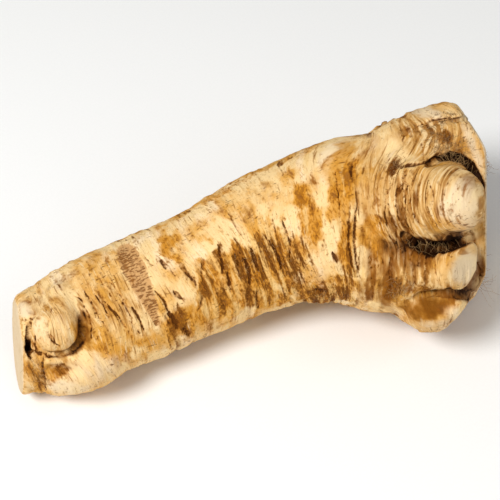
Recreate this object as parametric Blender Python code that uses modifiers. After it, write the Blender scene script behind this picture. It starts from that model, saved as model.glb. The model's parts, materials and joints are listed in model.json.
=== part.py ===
"""Horseradish root lying on a surface, grown as one piece and trimmed with a knife at both ends."""

import math

import bmesh
import bpy
import numpy as np
from mathutils import Matrix

MM = 0.001  # metres in a millimetre

# Sizes of the root, in millimetres. X runs from tip to crown, Y across and Z up from the surface it lies on.

# Centre line from tip to crown: along, across, height and radius at each station.
CENTRE_LINE = (
    (-112.0, -3.1, 20.6, 17.6),
    (-106.0, -3.4, 21.4, 20.8),
    (-96.0, -3.4, 21.7, 22.8),
    (-77.9, -2.6, 24.6, 25.0),
    (-56.4, -2.8, 26.2, 25.9),
    (-34.1, -2.2, 28.9, 25.4),
    (-11.9, -1.1, 32.4, 27.6),
    (9.1, -4.0, 36.8, 30.2),
    (28.2, -9.7, 40.8, 34.8),
    (45.7, -18.9, 42.6, 38.8),
    (63.2, -25.5, 44.4, 43.2),
    (77.7, -30.1, 44.4, 43.6),
    (92.0, -34.0, 44.4, 42.6),
)

# Features on the facing side are placed by right, up and out distances from this point of the root.
FACING_FROM = (-8.0, 0.0, 30.0)
FACING_TURN = -24.0  # degrees that the facing side is turned about Z from looking along +Y
FACING_LIFT = 50.0  # degrees that its outward direction rises over the horizontal


def facing_axes():
    """Unit vectors to the right, up and out of the facing side."""
    turn = math.radians(FACING_TURN)
    lift = math.radians(FACING_LIFT)
    right = np.array((math.cos(turn), math.sin(turn), 0.0))
    out = np.array((math.sin(turn) * math.cos(lift), -math.cos(turn) * math.cos(lift), math.sin(lift)))
    return np.array((right, np.cross(out, right), out))


FACING = facing_axes()


def at(right, up, out):
    """Point of the root placed by its facing distances."""
    return np.array(FACING_FROM) + np.array((right, up, out)) @ FACING


def along(right, up, out):
    """Unit direction with these facing parts."""
    direction = np.array((right, up, out)) @ FACING
    return direction / np.linalg.norm(direction)


def blend_min(a, b, width):
    """Smaller of two distances, with the crease between them rounded over this width."""
    share = np.clip(0.5 + 0.5 * (b - a) / width, 0.0, 1.0)
    return b * (1.0 - share) + a * share - width * share * (1.0 - share)


def blend_max(a, b, width):
    return -blend_min(-a, -b, width)


def egg(centre, radii, roll=0.0):
    """Ellipsoid with its radii right, up and out, rolled about the outward direction by some degrees."""
    turn = math.radians(roll)
    axes = np.array((
        math.cos(turn) * FACING[0] + math.sin(turn) * FACING[1],
        -math.sin(turn) * FACING[0] + math.cos(turn) * FACING[1],
        FACING[2],
    ))
    radii = np.array(radii, float)

    def distance(points):
        local = (points - centre) @ axes.T
        near = np.linalg.norm(local / radii, axis=1)
        slope = np.linalg.norm(local / radii**2, axis=1)
        return near * (near - 1.0) / np.maximum(slope, 1e-9)

    return distance


def rod(start, end, start_radius, end_radius):
    """Round bar with round ends."""

    def distance(points):
        line = end - start
        share = np.clip((points - start) @ line / (line @ line), 0.0, 1.0)
        gap = np.linalg.norm(points - start - share[:, None] * line, axis=1)
        return gap - start_radius - share * (end_radius - start_radius)

    return distance


def cut_stub(face, axis, radius, length, rounding):
    """Short stub that ends in a flat cut face."""

    def distance(points):
        height = (points - face) @ axis
        spread = np.linalg.norm(points - face - height[:, None] * axis, axis=1)
        side = blend_max(spread - radius, height, rounding)
        return blend_max(side, -length - height, rounding)

    return distance


def beyond(point, normal):
    """Everything past a knife cut, negative on the side that is cut away."""

    def distance(points):
        return -((points - point) @ normal)

    return distance


def cleft_distance(points, path):
    """Distance from a groove along a path, open toward the facing side and narrower at its bottom."""
    stops = np.array(path, float)
    local = (points - np.array(FACING_FROM)) @ FACING.T
    nearest = np.full(len(points), 1e3)
    for start, end in zip(stops[:-1], stops[1:]):
        line = end[:2] - start[:2]
        share = np.clip((local[:, :2] - start[:2]) @ line / (line @ line), 0.0, 1.0)
        gap = np.linalg.norm(local[:, :2] - start[:2] - share[:, None] * line, axis=1)
        rise = local[:, 2] - start[2] - share * (end[2] - start[2])
        width = CLEFT_FLOOR + (1.0 - CLEFT_FLOOR) * np.clip(rise / CLEFT_OPENING, 0.0, 1.0)
        half = start[3] + share * (end[3] - start[3])
        nearest = blend_min(nearest, blend_max(gap - half * width, -rise, CLEFT_ROUNDING), CLEFT_JOINT)
    return nearest


CLEFT_OPENING = 7.0  # height over its bottom at which a cleft has its full width
CLEFT_FLOOR = 0.6  # width of a cleft at its bottom, as a share of its full width
CLEFT_ROUNDING = 1.0
CLEFT_JOINT = 0.4  # rounding where two stretches of a cleft meet

STUB_AXIS = along(0.72, 0.04, 0.69)
STUB_CENTRE = at(78.1, 19.6, 49.0)
STUB_RADIUS = 12.9
STUB_BASE_RADIUS = 18.5
STUB_LENGTH = 22.0
STUB_BASE = STUB_CENTRE - STUB_LENGTH * STUB_AXIS

# Paths of the clefts. Each stop is right, up, out distance of the bottom, and half width.
TIP_SPLIT = (
    (-86.8, -29.0, 39.0, 0.7),
    (-86.6, -34.0, 34.0, 1.2),
    (-86.8, -38.7, 29.0, 1.5),
    (-84.5, -41.8, 30.0, 1.1),
    (-83.3, -44.6, 30.0, 0.9),
    (-82.1, -50.1, 27.0, 0.9),
    (-83.1, -59.2, 16.0, 0.9),
)
LIP_CREASE = (
    (61.0, 43.6, 33.0, 0.7),
    (66.0, 47.3, 31.0, 1.1),
    (73.2, 49.8, 30.5, 1.2),
    (86.0, 52.3, 25.0, 1.2),
)
UPPER_CLEFT = (
    (68.1, 32.5, 40.0, 0.8),
    (72.6, 35.1, 35.0, 1.5),
    (78.1, 36.7, 30.0, 2.0),
    (82.8, 36.0, 28.0, 2.1),
    (86.9, 32.8, 27.0, 2.0),
    (90.5, 28.0, 27.0, 1.7),
    (94.9, 20.0, 27.0, 1.4),
)
LOWER_CLEFT = (
    (60.0, 5.8, 42.0, 0.7),
    (63.7, 2.8, 37.0, 1.5),
    (70.1, 0.4, 36.0, 1.9),
    (76.5, 1.2, 36.0, 1.9),
    (82.0, 3.2, 36.0, 1.6),
    (88.4, 5.2, 30.0, 1.4),
    (96.0, 8.8, 28.0, 1.2),
)
LOBE_CLEFT = (
    (63.5, -20.5, 25.0, 0.6),
    (67.4, -18.1, 26.0, 1.1),
    (72.9, -16.8, 27.0, 1.2),
    (80.0, -17.2, 28.0, 1.2),
    (87.8, -18.5, 24.0, 1.2),
    (96.2, -18.8, 17.0, 1.2),
)

# What is grown onto the root and what is cut from it, in order, each with the width of its rounding.
FEATURES = (
    ("peeled lobe low on the tip", "grow", egg(at(-66.5, -46.5, 27.0), (16.0, 10.0, 13.0), 14.0), 6.0),
    ("knife cut at the tip", "cut", beyond(at(-94.0, -35.4, 24.0), along(-0.96, -0.07, 0.26)), 3.0),
    ("hollow round the nub", "cut", egg(at(-73.5, -31.1, 43.0), (10.7, 10.1, 9.0), 10.0), 3.0),
    ("nub", "grow", rod(at(-73.9, -21.5, 31.5), at(-75.8, -30.7, 39.5), 9.2, 9.1), 1.5),
    ("worn face of the nub", "cut", beyond(at(-73.7, -30.1, 47.5), along(0.12, -0.12, 0.98)), 1.5),
    ("lip under the nub", "grow", egg(at(-77.4, -43.6, 35.0), (6.2, 3.0, 8.0), -8.0), 1.5),
    ("hollow under the lip", "cut", egg(at(-73.3, -47.3, 45.0), (7.4, 3.4, 9.3), -10.0), 3.0),
    ("knob in the split", "grow", egg(at(-86.0, -43.2, 33.0), (2.4, 2.6, 6.0)), 1.0),
    ("upper lip of the crown", "grow", rod(at(58.8, 39.3, 20.0), at(79.5, 48.7, 20.0), 9.0, 10.0), 12.0),
    ("swelling behind the stub", "grow", egg(at(69.2, 19.0, 34.0), (18.0, 19.0, 17.0)), 7.0),
    ("stub", "grow", rod(STUB_BASE, STUB_CENTRE, STUB_BASE_RADIUS, STUB_RADIUS), 4.0),
    ("swelling under the stub", "grow", egg(at(69.0, -5.6, 29.0), (19.0, 12.5, 14.5)), 6.0),
    ("lower stub", "grow", cut_stub(at(83.2, -7.0, 46.0), along(0.70, -0.25, 0.67), 10.8, 15.0, 4.5), 5.0),
    ("bottom lobe", "grow", egg(at(77.7, -22.3, 9.0), (18.0, 11.4, 29.5), 8.0), 2.5),
    ("hollow in the bottom lobe", "cut", egg(at(70.0, -22.3, 40.5), (11.0, 5.2, 8.0), 8.0), 3.0),
    ("back lobe that the crown rests on", "grow", egg(at(66.2, 11.0, -31.0), (17.0, 15.5, 15.0)), 6.0),
    ("back stub", "grow", rod(at(68.8, 22.4, -0.5), at(71.9, 47.4, -13.7), 16.0, 11.0), 3.0),
    ("small back stub", "grow", rod(at(52.6, 25.4, 7.4), at(57.0, 45.4, 1.0), 11.0, 8.0), 3.0),
    ("scar of a side root", "grow", rod(at(-22.5, -7.8, -3.9), at(-25.9, -1.5, -19.6), 9.0, 6.5), 4.0),
    ("slanting knife cut of the crown", "cut", beyond(at(91.2, 50.0, 5.0), along(0.86, 0.50, 0.11)), 1.6),
    ("knife cut across the crown", "cut", beyond(at(92.5, 7.8, 40.0), along(0.9857, 0.0, 0.168)), 2.0),
    ("worn corner under the crown", "cut", beyond(at(88.4, -20.7, 30.0), along(0.76, -0.64, 0.1)), 5.0),
)

# Clefts that part the lobes, each with its path and the width of its rounding.
CLEFTS = (
    ("split between tip and nub", TIP_SPLIT, 1.0),
    ("crease under the upper lip", LIP_CREASE, 1.2),
    ("cleft over the stub", UPPER_CLEFT, 1.2),
    ("cleft under the stub", LOWER_CLEFT, 1.2),
    ("cleft over the bottom lobe", LOBE_CLEFT, 1.0),
)

LINE_STEPS = 400
LINE_SEARCHES = 4


def centre_line_tables():
    """Centre line joined by a smooth curve: place, across, height, radius and two slopes at even steps."""
    stations = np.array(CENTRE_LINE, float)
    x = stations[:, 0]
    steps = np.linspace(x[0], x[-1], LINE_STEPS)
    index = np.clip(np.searchsorted(x, steps) - 1, 0, len(x) - 2)
    span = x[index + 1] - x[index]
    t = (steps - x[index]) / span
    curves = [steps]
    for column in range(1, 4):
        y = stations[:, column]
        slope = np.gradient(y, x)
        curve = (2.0 * t**3 - 3.0 * t**2 + 1.0) * y[index] + (t**3 - 2.0 * t**2 + t) * span * slope[index]
        curve += (3.0 * t**2 - 2.0 * t**3) * y[index + 1] + (t**3 - t**2) * span * slope[index + 1]
        curves.append(curve)
    curves.append(np.gradient(curves[1], steps))
    curves.append(np.gradient(curves[2], steps))
    return curves


LINE = centre_line_tables()


def on_line(points):
    """Where each point lies along the centre line, its offset from the line and the radius there."""
    steps, across, height, radius, across_slope, height_slope = LINE
    x, y, z = points.T
    place = np.clip(x, steps[0], steps[-1])
    for _ in range(LINE_SEARCHES):
        dy = np.interp(place, steps, across_slope)
        dz = np.interp(place, steps, height_slope)
        miss_y = (y - np.interp(place, steps, across)) * dy
        miss_z = (z - np.interp(place, steps, height)) * dz
        step = (x - place + miss_y + miss_z) / (1.0 + dy**2 + dz**2)
        place = np.clip(place + step, steps[0], steps[-1])
    centre = np.column_stack((place, np.interp(place, steps, across), np.interp(place, steps, height)))
    return place, points - centre, np.interp(place, steps, radius)


def body(points):
    """Distance from the surface of the root without its clefts in millimetres, negative inside."""
    _, offset, radius = on_line(points)
    distance = np.linalg.norm(offset, axis=1) - radius
    for _, action, shape, rounding in FEATURES:
        if action == "grow":
            distance = blend_min(distance, shape(points), rounding)
        else:
            distance = blend_max(distance, -shape(points), rounding)
    return distance


def form(points):
    """Distance from the root's surface in millimetres, negative inside."""
    distance = body(points)
    for _, path, rounding in CLEFTS:
        distance = blend_max(distance, -cleft_distance(points, path), rounding)
    return distance


# Relief of the bark: swellings, broken rings of ridges and furrows round the trunk, and folds round the stub.
# A step is the width of a ridge along the root and a run is its length round it.
SWELL_SIZE = 23.0
SWELL_HEIGHT = 0.8
RIDGE_STEP = 2.7
RIDGE_RUN = 15.0
RIDGE_HEIGHT = 0.95
FOLD_STEP = 2.4
FOLD_RUN = 16.0
FOLD_HEIGHT = 1.0
FOLD_REACH = 30.0  # distance from the stub's axis at which the folds give way to the rings of the trunk
SMOOTH_TOP = 0.7  # share by which the rings fade on the upper side of the trunk
CALM_SPOTS = ((at(71.7, -22.9, 36.0), 14.0), (at(-77.2, -28.1, 42.0), 17.0))  # smooth skin: middle and reach
CROWN_START = 25.0
CROWN_FULL = 50.0


def lattice(cell, seed):
    """Random value from -1 to 1 for each whole-number cell."""
    mixed = cell[:, 0] * 374761393 + cell[:, 1] * 668265263 + cell[:, 2] * 1440662683 + seed * 974711
    mixed = (mixed ^ (mixed >> 13)) * 1274126177
    mixed = mixed ^ (mixed >> 16)
    return (mixed & 65535) / 32767.5 - 1.0


def noise(points, seed):
    """Smooth random field with features about one unit across."""
    base = np.floor(points).astype(np.int64)
    share = points - base
    share = share**3 * (share * (share * 6.0 - 15.0) + 10.0)
    total = np.zeros(len(points))
    for corner in np.ndindex(2, 2, 2):
        weight = np.prod(np.where(corner, share, 1.0 - share), axis=1)
        total += weight * lattice(base + corner, seed)
    return total


def ramp(value, start, end):
    """Smooth step from 0 at the start to 1 at the end."""
    share = np.clip((value - start) / (end - start), 0.0, 1.0)
    return share * share * (3.0 - 2.0 * share)


def ribs(field):
    """Low ridges with sharper furrows between them, from a random field."""
    return 0.45 * field - ramp(field, 0.1, 0.62)


def relief(points):
    """Height of the bark over the plain form, in millimetres."""
    place, offset, radius = on_line(points)
    local = points - STUB_CENTRE
    height = local @ STUB_AXIS
    side = local - height[:, None] * STUB_AXIS
    crown = ramp(place, CROWN_START, CROWN_FULL)
    wander = 2.4 * noise(points / 19.0, 3)
    rings = noise(np.column_stack(((place + wander) / RIDGE_STEP, offset[:, 1:] / RIDGE_RUN)), 5)
    folds = noise(np.column_stack(((height + 0.5 * wander) / FOLD_STEP, side[:, 1:] / FOLD_RUN)), 7)
    folded = 1.0 - ramp(np.linalg.norm(side, axis=1), 0.7 * FOLD_REACH, FOLD_REACH)
    folded = folded * ramp(height, -32.0, -24.0)
    top = SMOOTH_TOP * (1.0 - crown) * ramp(offset[:, 2] / radius, 0.3, 0.8)
    ridges = RIDGE_HEIGHT * (1.0 - top) * (0.85 + 0.4 * crown) * ribs(rings)
    creases = FOLD_HEIGHT * (1.0 - ramp(height, -5.0, 1.0)) * ribs(folds)
    bark = (1.0 - folded) * ridges + folded * creases
    for middle, reach in CALM_SPOTS:
        bark = bark * ramp(np.linalg.norm(points - middle, axis=1), 0.6 * reach, reach)
    return bark + SWELL_HEIGHT * noise(points / SWELL_SIZE, 6)


# Balls that the blank needs beside those along the centre line: centre and radius.
LOBE_BALLS = (
    (at(-66.5, -46.5, 27.0), 12.0),
    (at(-72.5, -19.1, 30.0), 9.0),
    (at(-76.0, -31.4, 39.0), 11.0),
    (STUB_CENTRE, STUB_RADIUS),
    (0.5 * (STUB_CENTRE + STUB_BASE), 0.5 * (STUB_RADIUS + STUB_BASE_RADIUS)),
    (STUB_BASE, STUB_BASE_RADIUS),
    (at(83.5, -7.1, 36.0), 12.0),
    (at(69.0, -5.6, 29.0), 14.0),
    (at(75.7, -21.7, 24.0), 13.0),
    (at(78.7, -22.6, 2.0), 15.0),
    (at(79.5, 48.7, 20.0), 10.0),
    (at(60.8, 40.6, 20.0), 10.0),
    (at(66.2, 11.4, -30.5), 15.0),
    (at(71.9, 47.4, -13.7), 11.0),
    (at(57.0, 45.4, 1.0), 8.0),
    (at(-25.1, -2.3, -17.7), 7.0),
)

# Making of the mesh.
BALL_STEP = 9.0
BALL_EXTRA = 1.0
ROUGH_SIZES = (3.2, 2.2)
ROUGH_ROUNDS = (8, 7)
LAST_SIZE = 1.0
LAST_ROUNDS = 5
CLEFT_REACH = 40.0  # height of a cleft's cutting body over the bottom of the cleft
EXACT_ROUNDS = 2  # last rounds, which don't spread the points
SMOOTH_SHARE = 0.45
SLOPE_REACH = 0.15
LEAST_STEEP = 0.25
MOST_TRIANGLES = 11400
RELIEF_BY_CUT = 0.5  # most relief near a knife cut, as a share of the depth behind it
REST_DEPTH = 0.05
ROW_SHIFT = (4.4, 22.6)  # moves the middle of the box over the origin


def clear_scene():
    for item in list(bpy.data.objects):
        bpy.data.objects.remove(item, do_unlink=True)


def blank():
    """Rough blank of balls along the centre line and at the lobes, in millimetres."""
    steps, across, height, radius, _, _ = LINE
    balls = []
    place = steps[0]
    while place <= steps[-1]:
        centre = (place, np.interp(place, steps, across), np.interp(place, steps, height))
        balls.append((centre, np.interp(place, steps, radius) + BALL_EXTRA))
        place += BALL_STEP
    balls += LOBE_BALLS
    mesh = bmesh.new()
    for centre, size in balls:
        bmesh.ops.create_icosphere(mesh, subdivisions=3, radius=size, matrix=Matrix.Translation(centre))
    data = bpy.data.meshes.new("horseradish_root")
    mesh.to_mesh(data)
    mesh.free()
    return data


def with_modifier(item, kind, **settings):
    """Applies one modifier to an object and keeps the result as its mesh."""
    modifier = item.modifiers.new(kind.lower(), kind)
    for name, value in settings.items():
        setattr(modifier, name, value)
    graph = bpy.context.evaluated_depsgraph_get()
    made = bpy.data.meshes.new_from_object(item.evaluated_get(graph))
    item.modifiers.clear()
    before = item.data
    item.data = made
    bpy.data.meshes.remove(before)
    made.name = item.name


def cleft_section(stop, side):
    """Corners of a cleft's section at one stop, from its bottom up to over the surface."""
    right, up, bottom, half = stop
    corners = []
    for rise, share in ((0.0, CLEFT_FLOOR), (CLEFT_OPENING, 1.0), (CLEFT_REACH, 1.0)):
        for sign in (-1.0, 1.0):
            across, upward = sign * share * half * side
            corners.append(at(right + across, up + upward, bottom + rise))
    return corners


def cleft_tools(path):
    """One convex body for each stretch of a cleft, in millimetres."""
    stops = np.array(path)
    lines = np.diff(stops[:, :2], axis=0)
    lines /= np.linalg.norm(lines, axis=1)[:, None]
    ways = np.concatenate((lines[:1], lines[:-1] + lines[1:], lines[-1:]))
    sides = np.stack((-ways[:, 1], ways[:, 0]), axis=1)
    sides /= np.linalg.norm(sides, axis=1)[:, None]
    for index in range(len(lines)):
        mesh = bmesh.new()
        for place in (index, index + 1):
            for corner in cleft_section(stops[place], sides[place]):
                mesh.verts.new(corner)
        bmesh.ops.convex_hull(mesh, input=mesh.verts)
        bmesh.ops.recalc_face_normals(mesh, faces=mesh.faces)
        data = bpy.data.meshes.new("cleft")
        mesh.to_mesh(data)
        mesh.free()
        yield data


def cut_clefts(root):
    """Opens the clefts in the smooth body, one stretch at a time."""
    for _, path, _ in CLEFTS:
        for data in cleft_tools(path):
            tool = bpy.data.objects.new("cleft", data)
            bpy.context.scene.collection.objects.link(tool)
            with_modifier(root, "BOOLEAN", operation="DIFFERENCE", solver="MANIFOLD", object=tool)
            bpy.data.objects.remove(tool, do_unlink=True)


def points_of(data):
    flat = np.empty(3 * len(data.vertices))
    data.vertices.foreach_get("co", flat)
    return flat.reshape(-1, 3)


def set_points(data, points):
    data.vertices.foreach_set("co", points.ravel())
    data.update()


def edges_of(data):
    flat = np.empty(2 * len(data.edges), np.int32)
    data.edges.foreach_get("vertices", flat)
    return flat.reshape(-1, 2)


def slope_of(field, points, here):
    """Gradient of a field of distances, from its value at each point."""
    rises = [field(points + SLOPE_REACH * axis) - here for axis in np.eye(3)]
    return np.stack(rises, axis=1) / SLOPE_REACH


def drift_of(points, edges):
    """Step from each point toward the middle of its neighbours."""
    total = np.zeros_like(points)
    count = np.zeros(len(points))
    for own, other in ((0, 1), (1, 0)):
        np.add.at(total, edges[:, own], points[edges[:, other]])
        np.add.at(count, edges[:, own], 1.0)
    return SMOOTH_SHARE * (total / np.maximum(count, 1.0)[:, None] - points)


def settle(data, field, size, rounds, along_surface):
    """Draws the mesh onto the surface where the field is zero, and spreads its points evenly."""
    points = points_of(data)
    edges = edges_of(data)
    for step in range(rounds):
        spreading = step < rounds - EXACT_ROUNDS
        if spreading and not along_surface:
            points = points + drift_of(points, edges)
        here = field(points)
        slope = slope_of(field, points, here)
        steep = np.maximum(np.sum(slope * slope, axis=1), LEAST_STEEP)
        move = -(here / steep)[:, None] * slope
        length = np.linalg.norm(move, axis=1)
        move *= np.minimum(1.0, size / np.maximum(length, 1e-9))[:, None]
        if spreading and along_surface:
            drift = drift_of(points, edges)
            move += drift - (np.sum(drift * slope, axis=1) / steep)[:, None] * slope
        points = points + move
    set_points(data, points)


def finished(points):
    """The form with its bark relief, which gives way toward the cut faces."""
    most = RELIEF_BY_CUT * np.maximum(knife_depth(points), 0.0)
    return form(points) - np.clip(relief(points), -most, most)


def knife_depth(points):
    """Depth of each point behind the nearest knife cut."""
    cuts = [shape(points) for name, _, shape, _ in FEATURES if name.startswith(("knife", "slanting"))]
    return np.min(cuts, axis=0)


def bark_material():
    material = bpy.data.materials.new("root_bark")
    material.use_nodes = True
    shader = material.node_tree.nodes["Principled BSDF"]
    shader.inputs["Base Color"].default_value = (0.80, 0.60, 0.30, 1.0)
    shader.inputs["Roughness"].default_value = 0.72
    return material


def build():
    clear_scene()
    group = bpy.data.collections.new("horseradish root")
    bpy.context.scene.collection.children.link(group)
    root = bpy.data.objects.new("horseradish_root", blank())
    group.objects.link(root)
    for size, rounds in zip(ROUGH_SIZES, ROUGH_ROUNDS):
        with_modifier(root, "REMESH", mode="VOXEL", voxel_size=size)
        settle(root.data, body, size, rounds, False)
    cut_clefts(root)
    with_modifier(root, "REMESH", mode="VOXEL", voxel_size=LAST_SIZE)
    settle(root.data, finished, LAST_SIZE, LAST_ROUNDS, True)
    points = points_of(root.data)
    points[:, 2] = np.maximum(points[:, 2], 0.0)
    set_points(root.data, points)
    with_modifier(root, "TRIANGULATE")
    share = MOST_TRIANGLES / len(root.data.polygons)
    with_modifier(root, "DECIMATE", ratio=share, use_collapse_triangulate=True)
    points = points_of(root.data)
    points[points[:, 2] < REST_DEPTH, 2] = 0.0
    points[:, :2] += ROW_SHIFT
    set_points(root.data, points * MM)
    root.data.materials.append(bark_material())
    for face in root.data.polygons:
        face.use_smooth = True


build()
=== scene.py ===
"""Looks of a horseradish root on a pale floor: wrinkled bark, cut and worn places, hairs, light, camera."""

import json
import math

import bmesh
import bpy
import numpy as np
from bpy.props import FloatProperty, FloatVectorProperty, IntProperty, PointerProperty
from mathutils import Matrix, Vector

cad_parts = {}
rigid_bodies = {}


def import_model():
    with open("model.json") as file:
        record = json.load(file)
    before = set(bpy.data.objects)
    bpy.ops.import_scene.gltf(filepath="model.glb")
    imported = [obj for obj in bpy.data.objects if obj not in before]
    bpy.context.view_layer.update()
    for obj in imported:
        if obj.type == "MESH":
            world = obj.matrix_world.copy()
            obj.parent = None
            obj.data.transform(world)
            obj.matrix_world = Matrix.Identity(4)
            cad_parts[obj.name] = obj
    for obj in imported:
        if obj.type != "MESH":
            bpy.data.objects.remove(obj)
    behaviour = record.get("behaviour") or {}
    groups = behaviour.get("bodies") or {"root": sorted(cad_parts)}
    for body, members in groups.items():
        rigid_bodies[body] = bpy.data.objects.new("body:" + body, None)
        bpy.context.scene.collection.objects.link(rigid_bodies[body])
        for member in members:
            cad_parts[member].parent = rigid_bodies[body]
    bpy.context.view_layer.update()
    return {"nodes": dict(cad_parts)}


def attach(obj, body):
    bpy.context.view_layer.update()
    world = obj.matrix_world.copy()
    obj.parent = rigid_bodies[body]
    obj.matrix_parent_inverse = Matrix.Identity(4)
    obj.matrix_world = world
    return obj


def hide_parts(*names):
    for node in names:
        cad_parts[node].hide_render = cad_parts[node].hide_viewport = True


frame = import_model()

bl_info = {
    "name": "Horseradish root",
    "version": (1, 0, 0),
    "blender": (4, 5, 0),
    "location": "3D View > Sidebar > Root",
    "description": "Fine bark, root hairs, studio light and camera for a horseradish root",
    "category": "Add Mesh",
}

NODE = "horseradish_root"
ROOT = "root_bark_and_flesh"
MM = 0.001  # metres in a millimetre
TINY = 1e-9  # keeps a division from being by nothing
FAR = 1e3  # millimetres, further than any point of the root


def hex_colour(text):
    """Linear colour from an sRGB hex value."""
    values = [int(text[start:start + 2], 16) / 255.0 for start in (1, 3, 5)]
    return tuple(v / 12.92 if v <= 0.04045 else ((v + 0.055) / 1.055) ** 2.4 for v in values)


def shade(text):
    """Opaque colour from an sRGB hex value."""
    return (*hex_colour(text), 1.0)


# Form of the root in millimetres, as its solid has it: a bent tapering trunk, and what is grown on it
# or cut from it.

# Centre line from tip to crown: along, across, height and radius at each station.
CENTRE_LINE = (
    (-112.0, -3.1, 20.6, 17.6),
    (-106.0, -3.4, 21.4, 20.8),
    (-96.0, -3.4, 21.7, 22.8),
    (-77.9, -2.6, 24.6, 25.0),
    (-56.4, -2.8, 26.2, 25.9),
    (-34.1, -2.2, 28.9, 25.4),
    (-11.9, -1.1, 32.4, 27.6),
    (9.1, -4.0, 36.8, 30.2),
    (28.2, -9.7, 40.8, 34.8),
    (45.7, -18.9, 42.6, 38.8),
    (63.2, -25.5, 44.4, 43.2),
    (77.7, -30.1, 44.4, 43.6),
    (92.0, -34.0, 44.4, 42.6),
)

# Features on the facing side are placed by right, up and out distances from this point of the root.
FACING_FROM = (-8.0, 0.0, 30.0)
FACING_TURN = -24.0  # degrees that the facing side is turned about Z from looking along +Y
FACING_LIFT = 50.0  # degrees that its outward direction rises over the horizontal


def facing_axes():
    """Unit vectors to the right, up and out of the facing side."""
    turn = math.radians(FACING_TURN)
    lift = math.radians(FACING_LIFT)
    right = np.array((math.cos(turn), math.sin(turn), 0.0))
    out = np.array((math.sin(turn) * math.cos(lift), -math.cos(turn) * math.cos(lift), math.sin(lift)))
    return np.array((right, np.cross(out, right), out))


FACING = facing_axes()


def at(right, up, out):
    """Point of the root placed by its facing distances."""
    return np.array(FACING_FROM) + np.array((right, up, out)) @ FACING


def along(right, up, out):
    """Unit direction with these facing parts."""
    direction = np.array((right, up, out)) @ FACING
    return direction / np.linalg.norm(direction)


def blend_min(a, b, width):
    """Smaller of two distances, with the crease between them rounded over this width."""
    share = np.clip(0.5 + 0.5 * (b - a) / width, 0.0, 1.0)
    return b * (1.0 - share) + a * share - width * share * (1.0 - share)


def blend_max(a, b, width):
    return -blend_min(-a, -b, width)


def egg(centre, radii, roll=0.0):
    """Ellipsoid with its radii right, up and out, rolled about the outward direction by some degrees."""
    turn = math.radians(roll)
    axes = np.array((
        math.cos(turn) * FACING[0] + math.sin(turn) * FACING[1],
        -math.sin(turn) * FACING[0] + math.cos(turn) * FACING[1],
        FACING[2],
    ))
    radii = np.array(radii, float)

    def distance(points):
        local = (points - centre) @ axes.T
        near = np.linalg.norm(local / radii, axis=1)
        slope = np.linalg.norm(local / radii**2, axis=1)
        return near * (near - 1.0) / np.maximum(slope, TINY)

    return distance


def rod(start, end, start_radius, end_radius):
    """Round bar with round ends."""

    def distance(points):
        line = end - start
        share = np.clip((points - start) @ line / (line @ line), 0.0, 1.0)
        gap = np.linalg.norm(points - start - share[:, None] * line, axis=1)
        return gap - start_radius - share * (end_radius - start_radius)

    return distance


def cut_stub(face, axis, radius, length, rounding):
    """Short stub that ends in a flat cut face."""

    def distance(points):
        height = (points - face) @ axis
        spread = np.linalg.norm(points - face - height[:, None] * axis, axis=1)
        side = blend_max(spread - radius, height, rounding)
        return blend_max(side, -length - height, rounding)

    return distance


def beyond(point, normal):
    """Everything past a knife cut, negative on the side that is cut away."""

    def distance(points):
        return -((points - point) @ normal)

    return distance


def cleft_distance(points, path):
    """Distance from a groove along a path, open toward the facing side and narrower at its bottom."""
    stops = np.array(path, float)
    local = (points - np.array(FACING_FROM)) @ FACING.T
    nearest = np.full(len(points), FAR)
    for start, end in zip(stops[:-1], stops[1:]):
        line = end[:2] - start[:2]
        share = np.clip((local[:, :2] - start[:2]) @ line / (line @ line), 0.0, 1.0)
        gap = np.linalg.norm(local[:, :2] - start[:2] - share[:, None] * line, axis=1)
        rise = local[:, 2] - start[2] - share * (end[2] - start[2])
        width = CLEFT_FLOOR + (1.0 - CLEFT_FLOOR) * np.clip(rise / CLEFT_OPENING, 0.0, 1.0)
        half = start[3] + share * (end[3] - start[3])
        nearest = blend_min(nearest, blend_max(gap - half * width, -rise, CLEFT_ROUNDING), CLEFT_JOINT)
    return nearest


CLEFT_OPENING = 7.0  # height over its bottom at which a cleft has its full width
CLEFT_FLOOR = 0.6  # width of a cleft at its bottom, as a share of its full width
CLEFT_ROUNDING = 1.0
CLEFT_JOINT = 0.4  # rounding where two stretches of a cleft meet

STUB_AXIS = along(0.72, 0.04, 0.69)
STUB_CENTRE = at(78.1, 19.6, 49.0)
STUB_RADIUS = 12.9
STUB_BASE_RADIUS = 18.5
STUB_LENGTH = 22.0
STUB_BASE = STUB_CENTRE - STUB_LENGTH * STUB_AXIS

# Paths of the clefts. Each stop is right, up, out distance of the bottom, and half width.
TIP_SPLIT = (
    (-86.8, -29.0, 39.0, 0.7),
    (-86.6, -34.0, 34.0, 1.2),
    (-86.8, -38.7, 29.0, 1.5),
    (-84.5, -41.8, 30.0, 1.1),
    (-83.3, -44.6, 30.0, 0.9),
    (-82.1, -50.1, 27.0, 0.9),
    (-83.1, -59.2, 16.0, 0.9),
)
LIP_CREASE = (
    (61.0, 43.6, 33.0, 0.7),
    (66.0, 47.3, 31.0, 1.1),
    (73.2, 49.8, 30.5, 1.2),
    (86.0, 52.3, 25.0, 1.2),
)
UPPER_CLEFT = (
    (68.1, 32.5, 40.0, 0.8),
    (72.6, 35.1, 35.0, 1.5),
    (78.1, 36.7, 30.0, 2.0),
    (82.8, 36.0, 28.0, 2.1),
    (86.9, 32.8, 27.0, 2.0),
    (90.5, 28.0, 27.0, 1.7),
    (94.9, 20.0, 27.0, 1.4),
)
LOWER_CLEFT = (
    (60.0, 5.8, 42.0, 0.7),
    (63.7, 2.8, 37.0, 1.5),
    (70.1, 0.4, 36.0, 1.9),
    (76.5, 1.2, 36.0, 1.9),
    (82.0, 3.2, 36.0, 1.6),
    (88.4, 5.2, 30.0, 1.4),
    (96.0, 8.8, 28.0, 1.2),
)
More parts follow.
